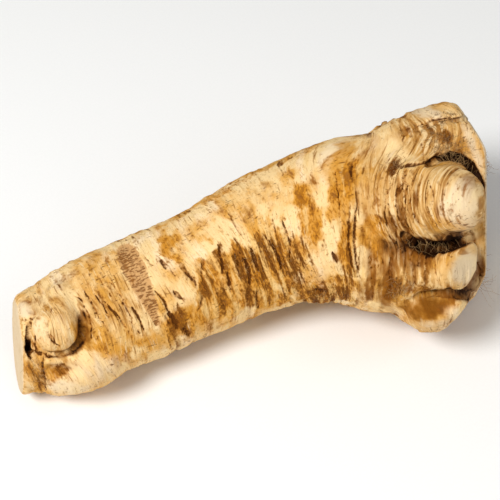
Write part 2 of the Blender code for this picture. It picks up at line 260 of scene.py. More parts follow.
LOBE_CLEFT = (
    (63.5, -20.5, 25.0, 0.6),
    (67.4, -18.1, 26.0, 1.1),
    (72.9, -16.8, 27.0, 1.2),
    (80.0, -17.2, 28.0, 1.2),
    (87.8, -18.5, 24.0, 1.2),
    (96.2, -18.8, 17.0, 1.2),
)

# What is grown onto the root and what is cut from it, in order, each with the width of its rounding.
FEATURES = (
    ("peeled lobe low on the tip", "grow", egg(at(-66.5, -46.5, 27.0), (16.0, 10.0, 13.0), 14.0), 6.0),
    ("knife cut at the tip", "cut", beyond(at(-94.0, -35.4, 24.0), along(-0.96, -0.07, 0.26)), 3.0),
    ("hollow round the nub", "cut", egg(at(-73.5, -31.1, 43.0), (10.7, 10.1, 9.0), 10.0), 3.0),
    ("nub", "grow", rod(at(-73.9, -21.5, 31.5), at(-75.8, -30.7, 39.5), 9.2, 9.1), 1.5),
    ("worn face of the nub", "cut", beyond(at(-73.7, -30.1, 47.5), along(0.12, -0.12, 0.98)), 1.5),
    ("lip under the nub", "grow", egg(at(-77.4, -43.6, 35.0), (6.2, 3.0, 8.0), -8.0), 1.5),
    ("hollow under the lip", "cut", egg(at(-73.3, -47.3, 45.0), (7.4, 3.4, 9.3), -10.0), 3.0),
    ("knob in the split", "grow", egg(at(-86.0, -43.2, 33.0), (2.4, 2.6, 6.0)), 1.0),
    ("upper lip of the crown", "grow", rod(at(58.8, 39.3, 20.0), at(79.5, 48.7, 20.0), 9.0, 10.0), 12.0),
    ("swelling behind the stub", "grow", egg(at(69.2, 19.0, 34.0), (18.0, 19.0, 17.0)), 7.0),
    ("stub", "grow", rod(STUB_BASE, STUB_CENTRE, STUB_BASE_RADIUS, STUB_RADIUS), 4.0),
    ("swelling under the stub", "grow", egg(at(69.0, -5.6, 29.0), (19.0, 12.5, 14.5)), 6.0),
    ("lower stub", "grow", cut_stub(at(83.2, -7.0, 46.0), along(0.70, -0.25, 0.67), 10.8, 15.0, 4.5), 5.0),
    ("bottom lobe", "grow", egg(at(77.7, -22.3, 9.0), (18.0, 11.4, 29.5), 8.0), 2.5),
    ("hollow in the bottom lobe", "cut", egg(at(70.0, -22.3, 40.5), (11.0, 5.2, 8.0), 8.0), 3.0),
    ("back lobe that the crown rests on", "grow", egg(at(66.2, 11.0, -31.0), (17.0, 15.5, 15.0)), 6.0),
    ("back stub", "grow", rod(at(68.8, 22.4, -0.5), at(71.9, 47.4, -13.7), 16.0, 11.0), 3.0),
    ("small back stub", "grow", rod(at(52.6, 25.4, 7.4), at(57.0, 45.4, 1.0), 11.0, 8.0), 3.0),
    ("scar of a side root", "grow", rod(at(-22.5, -7.8, -3.9), at(-25.9, -1.5, -19.6), 9.0, 6.5), 4.0),
    ("slanting knife cut of the crown", "cut", beyond(at(91.2, 50.0, 5.0), along(0.86, 0.50, 0.11)), 1.6),
    ("knife cut across the crown", "cut", beyond(at(92.5, 7.8, 40.0), along(0.9857, 0.0, 0.168)), 2.0),
    ("worn corner under the crown", "cut", beyond(at(88.4, -20.7, 30.0), along(0.76, -0.64, 0.1)), 5.0),
)

# Clefts that part the lobes, each with its path and the width of its rounding.
CLEFTS = (
    ("split between tip and nub", TIP_SPLIT, 1.0),
    ("crease under the upper lip", LIP_CREASE, 1.2),
    ("cleft over the stub", UPPER_CLEFT, 1.2),
    ("cleft under the stub", LOWER_CLEFT, 1.2),
    ("cleft over the bottom lobe", LOBE_CLEFT, 1.0),
)

LINE_STEPS = 400
LINE_SEARCHES = 4


def centre_line_tables():
    """Centre line joined by a smooth curve: place, across, height, radius and two slopes at even steps."""
    stations = np.array(CENTRE_LINE, float)
    x = stations[:, 0]
    steps = np.linspace(x[0], x[-1], LINE_STEPS)
    index = np.clip(np.searchsorted(x, steps) - 1, 0, len(x) - 2)
    span = x[index + 1] - x[index]
    t = (steps - x[index]) / span
    curves = [steps]
    for column in range(1, 4):
        y = stations[:, column]
        slope = np.gradient(y, x)
        curve = (2.0 * t**3 - 3.0 * t**2 + 1.0) * y[index] + (t**3 - 2.0 * t**2 + t) * span * slope[index]
        curve += (3.0 * t**2 - 2.0 * t**3) * y[index + 1] + (t**3 - t**2) * span * slope[index + 1]
        curves.append(curve)
    curves.append(np.gradient(curves[1], steps))
    curves.append(np.gradient(curves[2], steps))
    return curves


LINE = centre_line_tables()


def on_line(points):
    """Where each point lies along the centre line, its offset from the line and the radius there."""
    steps, across, height, radius, across_slope, height_slope = LINE
    x, y, z = points.T
    place = np.clip(x, steps[0], steps[-1])
    for _ in range(LINE_SEARCHES):
        dy = np.interp(place, steps, across_slope)
        dz = np.interp(place, steps, height_slope)
        miss_y = (y - np.interp(place, steps, across)) * dy
        miss_z = (z - np.interp(place, steps, height)) * dz
        step = (x - place + miss_y + miss_z) / (1.0 + dy**2 + dz**2)
        place = np.clip(place + step, steps[0], steps[-1])
    centre = np.column_stack((place, np.interp(place, steps, across), np.interp(place, steps, height)))
    return place, points - centre, np.interp(place, steps, radius)


def body(points):
    """Distance from the surface of the root without its clefts in millimetres, negative inside."""
    _, offset, radius = on_line(points)
    distance = np.linalg.norm(offset, axis=1) - radius
    for _, action, shape, rounding in FEATURES:
        if action == "grow":
            distance = blend_min(distance, shape(points), rounding)
        else:
            distance = blend_max(distance, -shape(points), rounding)
    return distance


def form(points):
    """Distance from the root's surface in millimetres, negative inside."""
    distance = body(points)
    for _, path, rounding in CLEFTS:
        distance = blend_max(distance, -cleft_distance(points, path), rounding)
    return distance


# Relief of the bark: swellings, broken rings of ridges and furrows round the trunk, and folds round the stub.
# A step is the width of a ridge along the root and a run is its length round it.
SWELL_SIZE = 23.0
SWELL_HEIGHT = 0.8
RIDGE_STEP = 2.7
RIDGE_RUN = 15.0
RIDGE_HEIGHT = 0.95
RIDGE_SHARE = 0.85  # height of the ridges on the trunk, as a share of RIDGE_HEIGHT
CROWN_EXTRA = 0.4  # what the crown adds to this share
RIDGE_CREST = 0.45  # height of a ridge's round crest, as a share of the furrow's depth
FURROW_RANGE = (0.1, 0.62)  # values of the noise over which a ridge drops into its furrow
FOLD_STEP = 2.4
FOLD_RUN = 16.0
FOLD_HEIGHT = 1.0
FOLD_REACH = (21.0, 30.0)  # distances from the stub's axis over which folds give way to the trunk's rings
FOLD_START = (-32.0, -24.0)  # heights along the stub's axis over which its folds begin
FOLD_END = (-5.0, 1.0)  # heights over which the folds fade toward the end of the stub
WANDER = 2.4  # how far the rings stray along the root
WANDER_SIZE = 19.0
SMOOTH_TOP = 0.7  # share by which the rings fade on the upper side of the trunk
TOP_RANGE = (0.3, 0.8)  # heights over the centre line, in radii, over which they fade
CALM_SPOTS = ((at(71.7, -22.9, 36.0), 14.0), (at(-77.2, -28.1, 42.0), 17.0))  # smooth skin: middle, reach
CALM_CORE = 0.6  # share of the reach that is wholly smooth
CROWN_RANGE = (25.0, 50.0)  # places along the root over which the trunk becomes the crown
SWELL_SEED = 6
WANDER_SEED = 3
RING_SEED = 5
FOLD_SEED = 7


def lattice(cell, seed):
    """Random value from -1 to 1 for each whole-number cell, from large odd numbers that mix its counts."""
    mixed = cell[:, 0] * 374761393 + cell[:, 1] * 668265263 + cell[:, 2] * 1440662683 + seed * 974711
    mixed = (mixed ^ (mixed >> 13)) * 1274126177
    mixed = mixed ^ (mixed >> 16)
    return (mixed & 65535) / 32767.5 - 1.0


def noise(points, seed):
    """Smooth random field with features about one unit across."""
    base = np.floor(points).astype(np.int64)
    share = points - base
    share = share**3 * (share * (share * 6.0 - 15.0) + 10.0)
    total = np.zeros(len(points))
    for corner in np.ndindex(2, 2, 2):
        weight = np.prod(np.where(corner, share, 1.0 - share), axis=1)
        total += weight * lattice(base + corner, seed)
    return total


def ramp(value, start, end):
    """Smooth step from 0 at the start to 1 at the end."""
    share = np.clip((value - start) / (end - start), 0.0, 1.0)
    return share * share * (3.0 - 2.0 * share)


def ribs(field):
    """Low ridges with sharper furrows between them, from a random field."""
    return RIDGE_CREST * field - ramp(field, *FURROW_RANGE)


def bark_spaces(points, place, offset):
    """Distances in millimetres along and round the trunk, the same for the stub, and how much those count."""
    local = points - STUB_CENTRE
    height = local @ STUB_AXIS
    side = local - height[:, None] * STUB_AXIS
    folded = 1.0 - ramp(np.linalg.norm(side, axis=1), *FOLD_REACH)
    folded = folded * ramp(height, *FOLD_START)
    wander = WANDER * noise(points / WANDER_SIZE, WANDER_SEED)
    trunk = np.column_stack((place + wander, offset[:, 1:]))
    stub = np.column_stack((height + 0.5 * wander, side[:, 1:]))
    return trunk, stub, folded


def furrowed(points):
    """Height of the rings and folds of the bark, without the broad swellings."""
    place, offset, radius = on_line(points)
    trunk, stub, folded = bark_spaces(points, place, offset)
    crown = ramp(place, *CROWN_RANGE)
    rings = noise(trunk / (RIDGE_STEP, RIDGE_RUN, RIDGE_RUN), RING_SEED)
    folds = noise(stub / (FOLD_STEP, FOLD_RUN, FOLD_RUN), FOLD_SEED)
    top = SMOOTH_TOP * (1.0 - crown) * ramp(offset[:, 2] / radius, *TOP_RANGE)
    ridges = RIDGE_HEIGHT * (1.0 - top) * (RIDGE_SHARE + CROWN_EXTRA * crown) * ribs(rings)
    height = (points - STUB_CENTRE) @ STUB_AXIS
    creases = FOLD_HEIGHT * (1.0 - ramp(height, *FOLD_END)) * ribs(folds)
    bark = (1.0 - folded) * ridges + folded * creases
    for middle, reach in CALM_SPOTS:
        bark = bark * ramp(np.linalg.norm(points - middle, axis=1), CALM_CORE * reach, reach)
    return bark


def relief(points):
    """Height of the bark over the plain form, in millimetres."""
    return furrowed(points) + SWELL_HEIGHT * noise(points / SWELL_SIZE, SWELL_SEED)


# Making of the fine mesh.
FINE_SIZE = 1.1
REFINE_REACH = 0.9  # distance beside a slit within which the mesh is made finer
SETTLE_ROUNDS = 5
EXACT_ROUNDS = 2  # last rounds, which don't spread the points
SMOOTH_SHARE = 0.45  # share of the way to the middle of its neighbours that a point goes in one round
SLOPE_REACH = 0.15  # distance over which a slope is measured
LEAST_STEEP = 0.25  # keeps a step short where the field is nearly level
RELIEF_BY_CUT = 0.5  # most relief near a knife cut, as a share of the depth behind it
MERGE_DISTANCE = 0.01  # points of the solid's loose triangles that are this close become one
ROW_SHIFT = np.array((4.4, 22.6, 0.0))  # from the form's own middle to the row frame
EYE_DISTANCE = 583.0  # distance from FACING_FROM at which the facing side is looked at

# Marks on the facing side are placed by right and up distances in millimetres as they look from that eye.
# Patches: right, up, half width, half height, roll in degrees and strength.
OCHRE_PATCHES = (
    (-34.9, 1.3, 4.2, 4.2, -30.0, 1.7),
    (-30.2, -2.9, 2.5, 1.7, -30.0, 1.3),
    (-32.8, 8.0, 2.9, 1.7, 20.0, 0.6),
    (-9.7, 14.3, 6.7, 3.8, 15.0, 0.5),
    (-18.9, 4.2, 5.9, 2.5, 15.0, 0.5),
    (21.8, 23.1, 3.4, 5.0, 18.0, 2.0),
    (26.5, 10.5, 5.0, 11.3, 14.0, 1.7),
    (39.9, 29.4, 6.3, 17.6, 0.0, 1.3),
    (39.1, -0.8, 3.8, 12.6, 4.0, 1.2),
    (52.9, 2.9, 4.6, 10.1, 4.0, 1.4),
    (51.2, 29.4, 4.2, 10.1, 8.0, 0.4),
    (-18.1, -16.4, 5.0, 10.1, 8.0, 1.3),
    (-23.5, -29.4, 8.4, 4.6, 20.0, 1.4),
    (-35.7, -35.7, 9.2, 4.2, 25.0, 0.9),
    (-51.2, -42.8, 8.4, 3.8, 22.0, 0.9),
    (-63.8, -42.8, 6.7, 3.8, -10.0, 0.9),
    # This patch darkens the bark low on the tip, where the key light falls strongly: painted shade along with
    # ochre.
    (-55.4, -37.0, 12.6, 5.9, 10.0, 0.45),
    (5.0, -5.0, 14.3, 15.1, -10.0, 1.0),
    (-15.1, -10.1, 12.6, 10.1, -10.0, 0.8),
    # This patch darkens the underside of the trunk: ochre along with painted shade.
    (-7.6, -22.3, 18.5, 5.0, 16.0, 1.0),
    (25.2, -17.6, 18.5, 5.5, 10.0, 0.8),
    (19.3, 33.6, 10.1, 2.9, 20.0, 0.4),
    (-1.7, 27.7, 5.9, 2.1, 26.0, 0.5),
    (-14.7, 23.9, 54.6, 2.5, 27.0, 0.55),
    (62.2, -16.8, 10.1, 5.0, 8.0, 0.4),
    (81.9, 10.5, 14.3, 5.0, 6.0, 0.6),
    (75.6, -23.1, 14.3, 6.7, 8.0, 0.8),
    (-79.8, -51.2, 6.7, 3.4, -8.0, 0.9),
    (-80.6, -32.8, 8.4, 10.1, -8.0, 0.35),
    (-89.0, -51.2, 4.6, 9.2, 14.0, 0.8),
    (-71.4, -35.7, 3.4, 10.1, -8.0, 0.8),
)
DIRT_PATCHES = (
    (5.9, -1.7, 8.4, 13.4, -12.0, 1.1),
    (-4.2, -6.7, 6.7, 11.8, -10.0, 1.0),
    (-13.0, -3.4, 3.8, 8.4, -8.0, 1.1),
    (-18.5, -15.1, 4.2, 10.1, 8.0, 1.1),
    (-22.7, -10.1, 5.0, 6.7, -24.0, 0.6),
    (17.6, -5.0, 8.4, 13.4, -14.0, 0.95),
    (-30.7, -29.4, 4.6, 5.0, -20.0, 1.0),
    (-25.2, -32.8, 5.9, 3.4, 20.0, 0.8),
    # This patch darkens the underside of the trunk: earth along with painted shade.
    (-9.2, -21.0, 15.1, 5.0, 16.0, 0.7),
    (16.8, -17.6, 8.4, 4.2, 10.0, 0.9),
    (-6.7, -25.6, 3.4, 2.5, 0.0, 0.7),
    (6.7, -16.4, 12.6, 5.0, 10.0, 0.75),
    (2.9, -19.7, 3.4, 5.9, 0.0, 0.8),
    (-57.1, -21.8, 10.1, 8.4, -30.0, 0.5),
    (-42.0, -21.0, 4.2, 10.9, -28.0, 0.4),
    (32.8, -18.1, 15.1, 5.0, 8.0, 1.15),
    (41.2, -10.1, 4.6, 5.5, 0.0, 1.1),
    (42.8, 32.8, 5.0, 5.0, 0.0, 0.7),
    (39.9, 10.5, 5.9, 16.8, 0.0, 0.5),
    (52.9, -5.0, 3.8, 5.9, 0.0, 0.55),
    (59.6, 36.1, 4.6, 3.4, 20.0, 1.1),
    (67.2, 34.4, 5.0, 2.1, -14.0, 0.9),
    (54.2, 13.4, 2.5, 2.5, 0.0, 0.8),
    (62.2, -16.0, 5.9, 4.2, 10.0, 1.1),
    (73.1, -15.1, 3.4, 2.9, 0.0, 0.9),
    (53.8, -14.7, 5.0, 5.9, 0.0, 0.35),
    (73.1, -5.0, 7.6, 7.1, 0.0, 0.85),
    (63.8, 14.7, 5.9, 14.3, 0.0, 0.2),
    (83.2, 45.8, 7.1, 4.6, -20.0, 0.9),
    (80.6, 55.4, 4.6, 1.7, -6.0, 1.0),
    (66.4, 50.4, 7.6, 2.1, -16.0, 0.5),
    (-80.6, -48.7, 5.9, 1.7, -6.0, 0.8),
    # This patch darkens the bark low on the tip, where the key light falls strongly: painted shade along with
    # earth.
    (-55.4, -38.2, 10.9, 5.0, 4.0, 0.22),
    (-89.0, -51.2, 3.4, 5.9, 10.0, 0.5),
    (48.7, 4.2, 6.7, 21.0, 0.0, 0.28),
    (-29.0, 15.1, 3.4, 1.7, 26.0, 1.0),
    (24.4, 15.1, 3.8, 8.4, 18.0, 0.4),
    (14.3, 37.8, 5.9, 1.3, 22.0, 0.8),
    (-14.7, 25.2, 54.6, 1.3, 27.0, 0.3),
    (-51.2, 5.9, 6.7, 1.3, 20.0, 0.5),
    (92.4, -14.7, 4.2, 3.4, 0.0, 0.6),
    (79.8, -29.4, 12.6, 2.1, -8.0, 0.2),
    (77.3, 22.7, 2.9, 13.4, 8.0, 0.25),
    (87.4, 5.5, 10.1, 2.5, 8.0, 0.7),
    (84.8, 34.4, 9.2, 2.1, -16.0, 0.5),
)
PALE_PATCHES = (
    (87.4, 18.5, 9.7, 13.4, 0.0, 0.95),
    (-94.5, -25.2, 3.4, 3.4, 0.0, 1.0),
    (-97.9, -44.1, 2.1, 16.0, 2.0, 0.7),
    (-66.4, -51.2, 15.1, 6.3, 14.0, 0.62),
    (-74.8, -56.7, 10.9, 3.8, 4.0, 0.7),
    (90.7, -7.6, 5.9, 9.2, -22.0, 1.0),
    (94.1, 42.0, 2.9, 14.3, 20.0, 0.8),
    (-80.2, -32.3, 3.8, 7.6, -8.0, 0.5),
    (-82.7, -47.0, 4.2, 1.7, -22.0, 0.5),
    (87.4, -28.6, 9.2, 3.4, -30.0, 0.6),
    (78.1, -31.9, 10.9, 2.9, 2.0, 0.6),
    (-42.0, -10.5, 5.9, 7.6, -28.0, 0.3),
    (31.9, -7.6, 3.4, 9.2, -10.0, 0.4),
    (56.7, 46.2, 9.2, 5.9, 14.0, 0.3),
    (74.8, 57.5, 10.9, 3.4, -20.0, 0.8),
)
FIBRE_PATCHES = (
    (76.4, 48.7, 16.0, 10.9, -18.0, 1.15),
    (68.0, -5.0, 14.3, 12.6, -6.0, 1.15),
    (65.1, 18.9, 10.9, 19.3, 0.0, 0.8),
    (83.2, 0.0, 15.1, 5.0, -6.0, 0.9),
    (51.2, 29.4, 6.7, 21.0, 2.0, 0.75),
    (56.7, 6.3, 5.9, 21.0, 2.0, 0.7),
    (60.9, -16.8, 12.6, 5.9, 8.0, 1.0),
    (-89.0, -52.1, 5.0, 9.2, 12.0, 1.0),
    (-72.2, -31.5, 2.9, 10.1, -6.0, 0.4),
    (98.3, 21.0, 2.5, 25.2, 0.0, 0.9),
    (79.8, 21.0, 18.5, 19.3, 0.0, 0.8),
    (-58.0, -28.6, 20.2, 18.5, -30.0, 0.62),
    (-82.3, -31.5, 10.1, 13.4, -8.0, 0.5),
    # This patch tans the peeled lobe under the nub, where the light falls on it: painted shade.
    (-68.0, -52.1, 13.4, 5.5, 14.0, 0.45),
    (75.6, -31.5, 15.1, 5.0, -8.0, 0.7),
    (87.4, -9.2, 7.6, 11.8, -20.0, 0.6),
)
# Hollows painted brown: painted shade over the bark's own brown, softer than the shade painted in the clefts.
HOLLOW_SHADE_PATCHES = (
    (73.5, -24.4, 12.2, 5.9, 8.0, 1.0),
    (68.9, -2.9, 3.4, 2.5, 0.0, 0.6),
    (-79.8, -50.8, 5.9, 2.9, -8.0, 0.55),
    (50.0, -5.9, 3.8, 12.6, 4.0, 0.7),
    (57.5, -17.6, 4.6, 7.1, 0.0, 0.7),
    (-68.0, -34.4, 1.7, 10.9, 2.0, 0.6),
    (-74.8, -47.0, 6.7, 1.3, -18.0, 0.5),
)
# Strip of rough cork, from top to bottom: right, up and half width.
CORK_STRIP = (
    (-51.7, -1.3, 4.2),
    (-48.7, -8.0, 5.2),
    (-44.9, -15.5, 4.6),
    (-42.0, -22.7, 3.2),
    (-39.1, -30.7, 1.4),
)
# Slits in the bark: right and up of both ends, bow to the right of the way it runs, half width and strength.
SLITS = (
    (-69.3, -17.2, -64.7, -28.6, -0.4, 0.59, 0.8),
    (-65.1, -18.9, -59.2, -28.6, -0.4, 0.55, 0.9),
    (-61.7, -14.3, -58.0, -19.3, 0.0, 0.38, 0.6),
    (-61.3, -21.4, -55.0, -29.4, -0.4, 0.63, 0.8),
    (-56.3, -17.2, -50.8, -26.0, -0.4, 0.50, 0.6),
    (-70.6, -22.3, -66.4, -37.0, -0.8, 0.50, 0.9),
    (-74.3, -18.9, -69.7, -25.2, -1.3, 0.50, 0.9),
    (-60.5, -27.7, -56.3, -34.4, -0.4, 0.38, 0.5),
    (-52.9, -30.2, -48.7, -40.3, -0.4, 0.34, 0.4),
    (-49.6, -23.9, -44.1, -34.0, -0.4, 0.71, 1.0),
    (-64.3, -10.5, -60.5, -16.8, -0.4, 0.34, 0.7),
    (-59.2, -13.0, -52.9, -21.0, -0.4, 0.38, 0.8),
    (-67.2, -21.4, -63.0, -30.2, -0.4, 0.42, 0.8),
    (-58.0, -23.9, -52.1, -32.8, -0.4, 0.38, 0.7),
    (-54.2, -21.4, -48.7, -30.2, -0.4, 0.38, 0.8),
    (-63.0, -29.0, -58.8, -35.3, -0.4, 0.34, 0.6),
    (-50.0, -29.4, -45.4, -36.1, -0.4, 0.34, 0.6),
    (-44.5, -2.5, -40.7, -6.3, 0.0, 0.42, 0.6),
    (-39.5, -2.1, -30.2, -13.0, -0.8, 0.34, 0.5),
    (-37.8, -4.2, -34.9, -8.4, 0.0, 0.63, 0.8),
    (-39.5, -16.4, -33.2, -27.3, -0.4, 0.63, 1.0),
    (-36.5, -26.0, -33.2, -32.3, -0.4, 0.42, 0.6),
    (-43.7, -26.5, -41.6, -32.3, 0.0, 0.38, 0.5),
    (-31.9, -17.2, -28.6, -21.0, 0.0, 1.01, 0.9),
    (-27.7, -8.8, -22.3, -15.1, -0.4, 1.01, 0.95),
    (-18.9, -3.4, -19.7, -14.3, 0.8, 1.26, 0.7),
    (-13.0, 2.9, -11.3, -10.5, 0.0, 0.80, 1.0),
    (-9.7, -9.2, -7.6, -18.5, 0.0, 0.76, 0.9),
    (-6.7, -1.7, -4.2, -11.3, -0.4, 0.59, 0.8),
    (-2.5, -3.4, 0.4, -15.1, -0.4, 1.09, 1.0),
    (-34.4, -26.0, -29.8, -33.6, -0.4, 1.43, 0.9),
    (-27.7, -32.8, -25.2, -36.5, 0.0, 1.09, 0.7),
    (-21.4, -25.6, -19.3, -18.9, 0.4, 0.67, 0.7),
    (0.0, 0.8, 2.9, -9.2, -0.4, 1.09, 1.0),
    (5.5, 6.7, 13.4, -9.2, -1.3, 0.80, 1.0),
    (7.6, 3.8, 9.7, 1.3, 0.0, 1.26, 0.9),
    (13.4, 12.6, 16.8, -5.5, -0.8, 0.67, 0.9),
    (20.6, -8.4, 22.7, -14.3, 0.0, 0.67, 0.9),
    (10.5, 16.0, 11.3, 12.2, 0.0, 0.42, 0.7),
    (21.4, 22.7, 28.6, 10.1, -1.3, 0.38, 0.4),
    (27.7, 6.7, 32.8, -6.7, -0.8, 0.42, 0.6),
    (34.4, -0.8, 36.5, -5.5, 0.0, 0.80, 1.0),
    (35.7, 33.6, 37.8, 13.4, -0.4, 0.42, 0.7),
    (37.8, 13.4, 39.9, 1.7, 0.0, 0.42, 0.6),
    (2.9, -17.6, 3.4, -24.8, 0.4, 0.76, 0.9),
    (-5.0, 0.0, -0.4, -16.8, -0.8, 0.50, 0.6),
    (-11.8, -12.6, -8.8, -20.2, -0.4, 0.50, 0.6),
    (18.1, -18.5, 23.9, -21.8, -0.4, 0.59, 0.6),
    (26.9, -17.2, 31.9, -18.1, 0.0, 1.09, 0.8),
    (-84.0, -44.9, -89.0, -42.8, 0.4, 0.76, 0.9),
    (-86.9, -44.5, -86.5, -51.7, 0.8, 0.71, 1.0),
    (-86.5, -51.2, -85.3, -59.2, 0.4, 0.76, 0.9),
    (-89.9, -36.1, -89.0, -42.8, 0.4, 0.50, 0.7),
    (-92.4, -28.1, -92.8, -37.4, 0.0, 0.67, 0.8),
    (-93.2, -40.3, -91.1, -47.9, 0.4, 0.84, 0.9),
    (-92.4, -42.4, -87.4, -44.5, -0.4, 0.76, 0.9),
    (-85.3, -35.3, -81.9, -40.7, -1.3, 0.42, 0.8),
    (-96.6, -29.0, -90.7, -28.1, 0.4, 0.42, 0.7),
    (42.8, 19.7, 43.7, -10.1, 1.7, 0.59, 0.9),
    (45.4, 19.7, 46.6, -12.6, 2.1, 0.67, 1.0),
    (42.4, 36.5, 42.4, 30.7, 0.0, 0.67, 0.7),
    (64.7, 40.3, 65.1, 50.4, -0.4, 0.42, 0.5),
    (71.4, 46.2, 73.1, 37.8, -0.4, 0.55, 0.6),
    (69.7, 2.1, 71.0, -16.0, 2.9, 0.50, 0.6),
    (74.8, -0.8, 76.9, -16.8, 1.7, 0.46, 0.5),
    (79.0, 0.0, 79.8, -15.1, 1.3, 0.42, 0.5),
    (52.1, 15.1, 55.9, 11.3, 0.0, 0.67, 0.5),
    (54.6, 0.0, 56.3, -9.2, 0.0, 0.55, 0.6),
    (63.8, 45.8, 68.9, 51.2, -0.8, 0.50, 0.7),
    (68.0, 50.8, 84.8, 55.9, -1.3, 0.71, 0.9),
    (63.0, 34.4, 73.1, 36.5, -0.4, 0.84, 0.9),
    (72.2, 36.5, 80.2, 41.2, 0.4, 0.92, 1.0),
    (64.7, 34.4, 57.1, 18.9, -2.5, 0.42, 0.75),
    (57.1, 18.9, 61.3, 0.0, -1.7, 0.42, 0.75),
    (62.6, 29.4, 62.2, 10.5, -2.5, 0.38, 0.6),
    (64.7, 30.2, 63.8, 8.4, -1.7, 0.34, 0.5),
    (67.6, 31.1, 66.8, 7.6, -1.7, 0.34, 0.5),
    (74.8, 30.2, 74.3, 14.3, -2.1, 0.38, 0.6),
    (50.8, 9.2, 51.7, -16.8, 0.4, 0.38, 0.6),
    (59.2, 0.0, 59.6, -21.0, 0.8, 0.38, 0.6),
    (65.1, -5.0, 66.4, -14.3, 0.4, 0.38, 0.7),
    (61.7, 35.7, 59.6, 2.1, 3.8, 0.46, 0.7),
    (59.6, 2.1, 59.2, -11.8, 0.0, 0.42, 0.6),
    (63.8, 35.3, 67.6, 2.9, 7.6, 0.42, 0.6),
    (65.9, 32.8, 69.3, 4.2, 6.3, 0.59, 0.8),
    (66.8, 29.4, 71.4, 2.9, 5.5, 0.42, 0.7),
    (68.9, 30.2, 75.6, 5.9, 5.0, 0.29, 0.6),
    (76.4, 30.7, 79.8, 7.6, 3.8, 0.34, 0.7),
    (75.6, 28.6, 78.5, 8.4, 3.4, 0.25, 0.5),
    (-82.7, -23.5, -84.8, -34.4, 0.8, 0.38, 0.6),
    (-85.3, -34.0, -79.4, -40.7, 1.3, 0.42, 0.8),
    (-95.8, -28.6, -91.1, -29.0, 0.0, 0.42, 0.6),
    (95.3, -5.0, 96.6, -13.4, -0.8, 0.55, 0.8),
)


def seen(points):
    """Right and up places of the points as they look to the eye on the facing side."""
    local = (points - FACING_FROM) @ FACING.T
    return local[:, :2] * (EYE_DISTANCE / (EYE_DISTANCE - local[:, 2]))[:, None]


PATCH_FIRM = 0.2  # share of its size within which a patch has its full strength
PATCH_END = 1.8  # share of its size at which a patch ends, less its firm share
SLIT_TIP = 0.05  # half width of a slit at its tips
SLIT_EDGE = (0.35, 1.4)  # shares of its half width over which a slit fades out
STRIP_EDGE = (0.7, 1.15)  # shares of its half width over which the strip of cork fades out
FACING_RANGE = (-0.05, 0.25)  # slopes toward the facing side over which its marks come in


def patch_mask(places, patches, firm=PATCH_FIRM):
    """How strongly each place lies in one of the patches, each fading out beyond its firm share."""
    mask = np.zeros(len(places))
    for right, up, half_width, half_height, roll, strength in patches:
        turn = math.radians(roll)
        across = (places - (right, up)) @ (math.cos(turn), math.sin(turn))
        upward = (places - (right, up)) @ (-math.sin(turn), math.cos(turn))
        reach = np.sqrt((across / half_width) ** 2 + (upward / half_height) ** 2)
        mask = np.maximum(mask, strength * (1.0 - ramp(reach, firm, PATCH_END - firm)))
    return mask


def slit_mask(places, slits, spread=0.0):
    """How strongly each place lies on one of the slits, which taper to both ends."""
    mask = np.zeros(len(places))
    for start_right, start_up, end_right, end_up, bow, half, strength in slits:
        start = np.array((start_right, start_up))
        line = np.array((end_right, end_up)) - start
        length = np.linalg.norm(line)
        share = np.clip((places - start) @ line / length**2, 0.0, 1.0)
        belly = 4.0 * share * (1.0 - share)
        side = np.array((line[1], -line[0])) / length
        middle = start + share[:, None] * line + (bow * belly)[:, None] * side
        gap = np.linalg.norm(places - middle, axis=1)
        width = half * np.sqrt(belly) + SLIT_TIP + spread
        mask = np.maximum(mask, strength * (1.0 - ramp(gap / width, *SLIT_EDGE)))
    return mask


def strip_mask(places, stops):
    """How far inside a strip with changing width each place lies."""
    mask = np.zeros(len(places))
    for start, end in zip(stops[:-1], stops[1:]):
        line = np.subtract(end[:2], start[:2])
        share = np.clip((places - start[:2]) @ line / (line @ line), 0.0, 1.0)
        gap = np.linalg.norm(places - start[:2] - share[:, None] * line, axis=1)
        width = start[2] + share * (end[2] - start[2])
        mask = np.maximum(mask, 1.0 - ramp(gap / width, *STRIP_EDGE))
    return mask


def bark_noise(spaces, sizes, seed):
    """Noise that runs round the trunk, or round the stub near it."""
    trunk, stub, folded = spaces
    return (1.0 - folded) * noise(trunk / sizes, seed) + folded * noise(stub / sizes, seed + 1)


def facing_share(normals):
    """1 where the surface looks toward the facing side, 0 where it looks away."""
    return ramp(normals @ FACING[2], *FACING_RANGE)


def shelter(points, normals, reach):
    """How closed in each point is, from 0 in the open to 1 at the bottom of a cleft, which sets the shade
    painted there.
    """
    return np.clip(1.0 - form(points + reach * normals) / reach, 0.0, 1.0)


JITTER_SIZE = 2.6
JITTER_SEEDS = (31, 32)
DRIFT_SIZE = 8.0
DRIFT_SEEDS = (33, 34)
# How far the edges of each kind of mark stray, in millimetres, by the fine jitter and by the broad drift.
STRAYS = {
    "stain": (1.5, 2.6),
    "pale": (0.7, 1.2),
    "cork": (0.45, 0.0),
    "slit": (0.3, 0.5),
    "hollow": (0.8, 0.0),
}
PALE_FIRM = 0.3
HOLLOW_FIRM = 0.15
# Stains on the other sides: strength, size, seed, and the noise's range from clean to stained.
BACK_OCHRE = (0.70, 15.0, 42, 0.0, 0.6)
BACK_DIRT = (0.65, 17.0, 43, -0.2, 0.6)
BACK_FIBRE = 0.35  # how frayed the other sides of the trunk are, where the crown's are wholly frayed
CLEFT_SHADE_REACHES = (1.6, 5.0)  # distances out from the bark at which the walls of a cleft are looked for, for the shade painted in clefts
HOLLOW_LIGHT = 0.8  # share of the shade painted in clefts that a hollow takes out, where the hollow's softer painted shade stands instead
# Depths behind a knife cut over which its flesh ends, and over which its rind begins and ends.
SKIN_DEPTHS = (0.2, 0.9)
RIND_DEPTHS = ((0.1, 0.8), (1.0, 2.4))
FURROW_DEPTHS = (0.15, 0.75)  # depths over which a furrow of the relief is darkened with painted shade


def back_stains(points, strength, size, seed, clean, stained):
    return strength * ramp(noise(points / size, seed), clean, stained)


